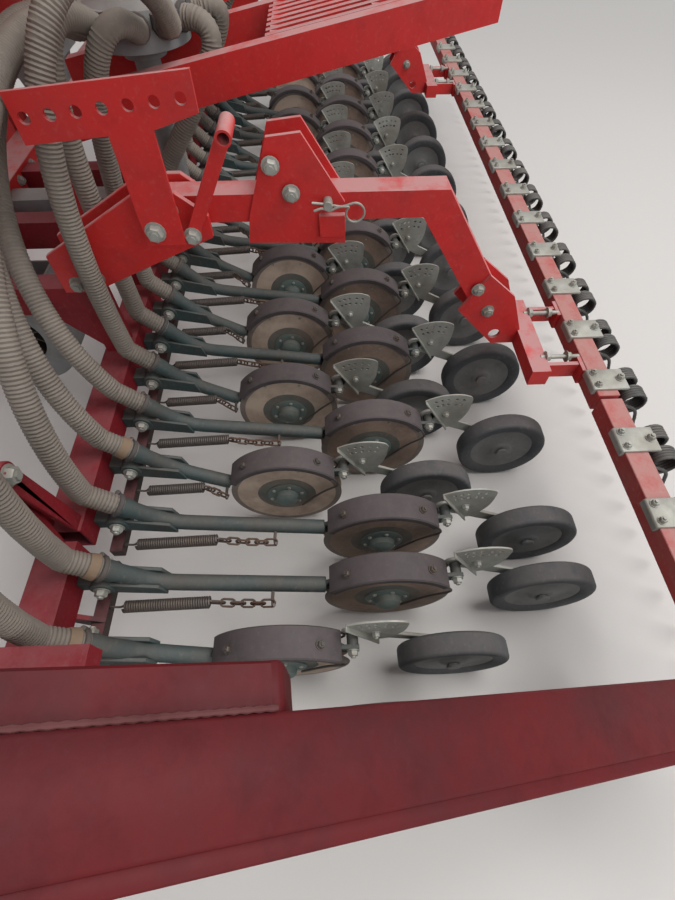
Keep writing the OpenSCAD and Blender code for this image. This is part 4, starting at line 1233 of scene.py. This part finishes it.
# End arms: tapered box arm with a raised plate welded to its inner side. Places are y and z.
endArmPlan = {
    "x": 1.907,
    "turn": 5.1,  # degrees towards the middle
    "width": 0.100,
    "flange": 0.015,  # along the outer side
    "flangeStep": 0.007,
    "pivot": (-0.300, 0.985),
    "foot": (0.845, 0.4325),
    "footDepth": 0.105,
    "plate": 0.044,
    "plateEnd": 0.076,
    "plateTop": 0.857,
    "plateLow": 0.776,
    "bead": (0.0024, 0.0034),  # least and most radius
    "beadSteps": 50,
    "bossX": 0.060,
    "bossHalf": 0.028,
    "bossRadius": 0.040,
}


def turnedIn(shape, side):
    # Sets a shape drawn from X 0 outwards against its end arm's inner side
    e = endArmPlan
    cos, sin = math.cos(math.radians(e["turn"])), math.sin(math.radians(e["turn"]))
    shape.points = [(side * (e["x"] + x * cos - y * sin), x * sin + y * cos, z) for x, y, z in shape.points]
    if side < 0:
        shape.faces = [face[::-1] for face in shape.faces]


def weldBead(shape, a, b):
    least, most = endArmPlan["bead"]
    steps = endArmPlan["beadSteps"]
    path = [Vector((-0.003, a[0] + (b[0] - a[0]) * i / steps, a[1] + (b[1] - a[1]) * i / steps))
            for i in range(steps + 1)]
    tube(shape, path, [most if i % 2 else least for i in range(steps + 1)], 8)


def makeEndArm(side):
    e = endArmPlan
    y, z = e["pivot"]
    footY, footZ = e["foot"]
    arm = Shape()
    inner = e["width"] - e["flange"]
    bodyTop, flangeTop = z + 0.045, z + 0.045 - e["flangeStep"]
    prism(arm, [(y + 0.055, z - 0.055), (y + 0.055, bodyTop), (y + 0.085, bodyTop), (footY, footZ + 0.007),
                (footY, footZ), (footY - e["footDepth"], footZ)], 0, inner, 0.004)
    prism(arm, [(y + 0.055, z - 0.055), (y + 0.055, flangeTop), (y + 0.085, flangeTop), (footY, footZ),
                (footY - e["footDepth"], footZ)], inner - 0.004, e["width"], 0.002)
    corner = [(e["plateEnd"] - 0.014 + 0.014 * math.sin(t), e["plateTop"] + 0.010 * math.cos(t))
              for t in (0, 0.5, 1.0, 1.57)]
    plate = [(y + 0.065, z - 0.060), (y + 0.065, z + 0.025), (y + 0.120, z + 0.015)] + corner
    prism(arm, plate + [(e["plateEnd"], e["plateLow"])], -e["plate"], 0.002, 0.003)
    # Weld beads along the plate's lower and upper edges
    arm.skin = 1
    beadY = e["plateEnd"] + 0.002
    weldBead(arm, (y + 0.085, z - 0.062), (beadY, e["plateLow"] + 0.004))
    weldBead(arm, (y + 0.120, z + 0.018), (beadY - 0.008, e["plateTop"] + 0.013))
    arm.skin = 0
    turnedIn(arm, side)
    # Boss on the pivot
    bossX, half = side * (e["x"] + e["bossX"]), e["bossHalf"]
    rod(arm, (bossX - half, y, z), (bossX + half, y, z), e["bossRadius"], 32, 0.003)
    prism(arm, [(y, z - 0.040), (y + 0.080, z - 0.040), (y + 0.080, z + 0.040), (y, z + 0.040)],
          bossX - half, bossX + half, 0.002)
    return arm


for side, section in ((1, "near"), (-1, "far")):
    node = "end_arm_" + section
    # The end arms take the red paint darkened as painted shade
    makePiece("endArm" + section.capitalize(), makeEndArm(side), ["shadedRed", "weldBead"],
              "harrow_end_" + section, [node])
print("end arms made")

# Broken edges on the frame's own plates and tubes
edgePlan = {
    "width": 0.0015,
    "sharperThan": 50,  # degrees
    "nodes": ("main_frame", "headstock", "toolbar", "toolbar_near", "toolbar_far", "platform",
              "pressure_plates", "harrow_brackets", "harrow_arms", "harrow_bar", "harrow_bar_near",
              "harrow_bar_far", "hopper", "hopper_lid", "metering_box", "fan_housing", "distributor",
              "stand_near", "stand_far"),
}
for node in edgePlan["nodes"]:
    obj = frame["nodes"][node]
    weld = obj.modifiers.new("weld", "WELD")
    weld.merge_threshold = 0.00002
    edge = obj.modifiers.new("brokenEdge", "BEVEL")
    edge.width = edgePlan["width"]
    edge.segments = 1
    edge.limit_method = "ANGLE"
    edge.angle_limit = math.radians(edgePlan["sharperThan"])
    edge.harden_normals = False
print("edges broken")

# Floor, pale hall and lamps
hallPlan = {
    "floorSize": 60,
    "floorColour": (0.62, 0.59, 0.56, 1),
    "hallColour": (0.74, 0.72, 0.70, 1),
    "fade": (3.2, 11.0),  # distances between which the floor turns into the hall
    "skyColour": (0.92, 0.95, 1.0, 1),
    "skyStrength": 0.42,
    "aim": (0, 0, 0.3),
}
lamps = {
    "skyLight": dict(place=(1.0, 2.5, 5.5), size=4.0, power=260),
    "doorLight": dict(place=(6.0, 3.0, 3.5), size=3.0, power=90),
    "frontLight": dict(place=(-1.5, -6.0, 3.0), size=3.0, power=80),
}


def backgroundRays(tree):
    # 1 for rays of the camera and for those that metal or glass sends on
    path = tree.nodes.new("ShaderNodeLightPath")
    shown = path.outputs["Is Camera Ray"]
    for kind in ("Is Glossy Ray", "Is Transmission Ray"):
        both = tree.nodes.new("ShaderNodeMath")
        both.operation = "ADD"
        both.use_clamp = True
        tree.links.new(shown, both.inputs[0])
        tree.links.new(path.outputs[kind], both.inputs[1])
        shown = both.outputs[0]
    return shown


def makeFloor():
    # Pale floor that keeps the drill's shadow and turns into the pale hall farther out
    bpy.ops.mesh.primitive_plane_add(size=hallPlan["floorSize"], location=(0, 0, -0.001))
    floor = bpy.context.object
    floor.name = "floor"
    n = Nodes("paleFloor")
    shader = n.add("ShaderNodeBsdfPrincipled", Roughness=0.9)
    shader.inputs["Base Color"].default_value = hallPlan["floorColour"]
    far = n.add("ShaderNodeEmission", Strength=1.0)
    far.inputs["Color"].default_value = hallPlan["hallColour"]
    place = n.add("ShaderNodeTexCoord").outputs["Object"]
    distance = n.add("ShaderNodeVectorMath", {"Vector": place}, operation="LENGTH").outputs["Value"]
    fade = n.times(n.ramp(distance, *hallPlan["fade"]), backgroundRays(n.tree))
    mixed = n.add("ShaderNodeMixShader")
    for socket, out in zip(mixed.inputs, (fade, shader.outputs[0], far.outputs[0])):
        n.tree.links.new(out, socket)
    n.add("ShaderNodeOutputMaterial", {"Surface": mixed.outputs[0]})
    floor.data.materials.append(n.mat)


def makeLight(name, place, size, power):
    data = bpy.data.lights.new(name, "AREA")
    data.shape = "DISK"
    data.size = size
    data.energy = power
    lamp = bpy.data.objects.new(name, data)
    bpy.context.scene.collection.objects.link(lamp)
    lamp.location = place
    lamp.rotation_euler = (Vector(hallPlan["aim"]) - Vector(place)).to_track_quat("-Z", "Y").to_euler()


def makeHall():
    # The camera and glossy surfaces see a pale hall, while the light stays plain
    world = bpy.data.worlds.new("hallLight")
    bpy.context.scene.world = world
    world.use_nodes = True
    tree = world.node_tree
    sky = tree.nodes["Background"]
    sky.inputs["Color"].default_value = hallPlan["skyColour"]
    sky.inputs["Strength"].default_value = hallPlan["skyStrength"]
    hall = tree.nodes.new("ShaderNodeBackground")
    hall.inputs["Color"].default_value = hallPlan["hallColour"]
    choose = tree.nodes.new("ShaderNodeMixShader")
    for socket, out in zip(choose.inputs, (backgroundRays(tree), sky.outputs[0], hall.outputs[0])):
        tree.links.new(out, socket)
    tree.links.new(choose.outputs[0], tree.nodes["World Output"].inputs["Surface"])


makeFloor()
for name, lamp in lamps.items():
    makeLight(name, **lamp)
makeHall()
bpy.context.scene.view_settings.view_transform = "Standard"
print("stage set")
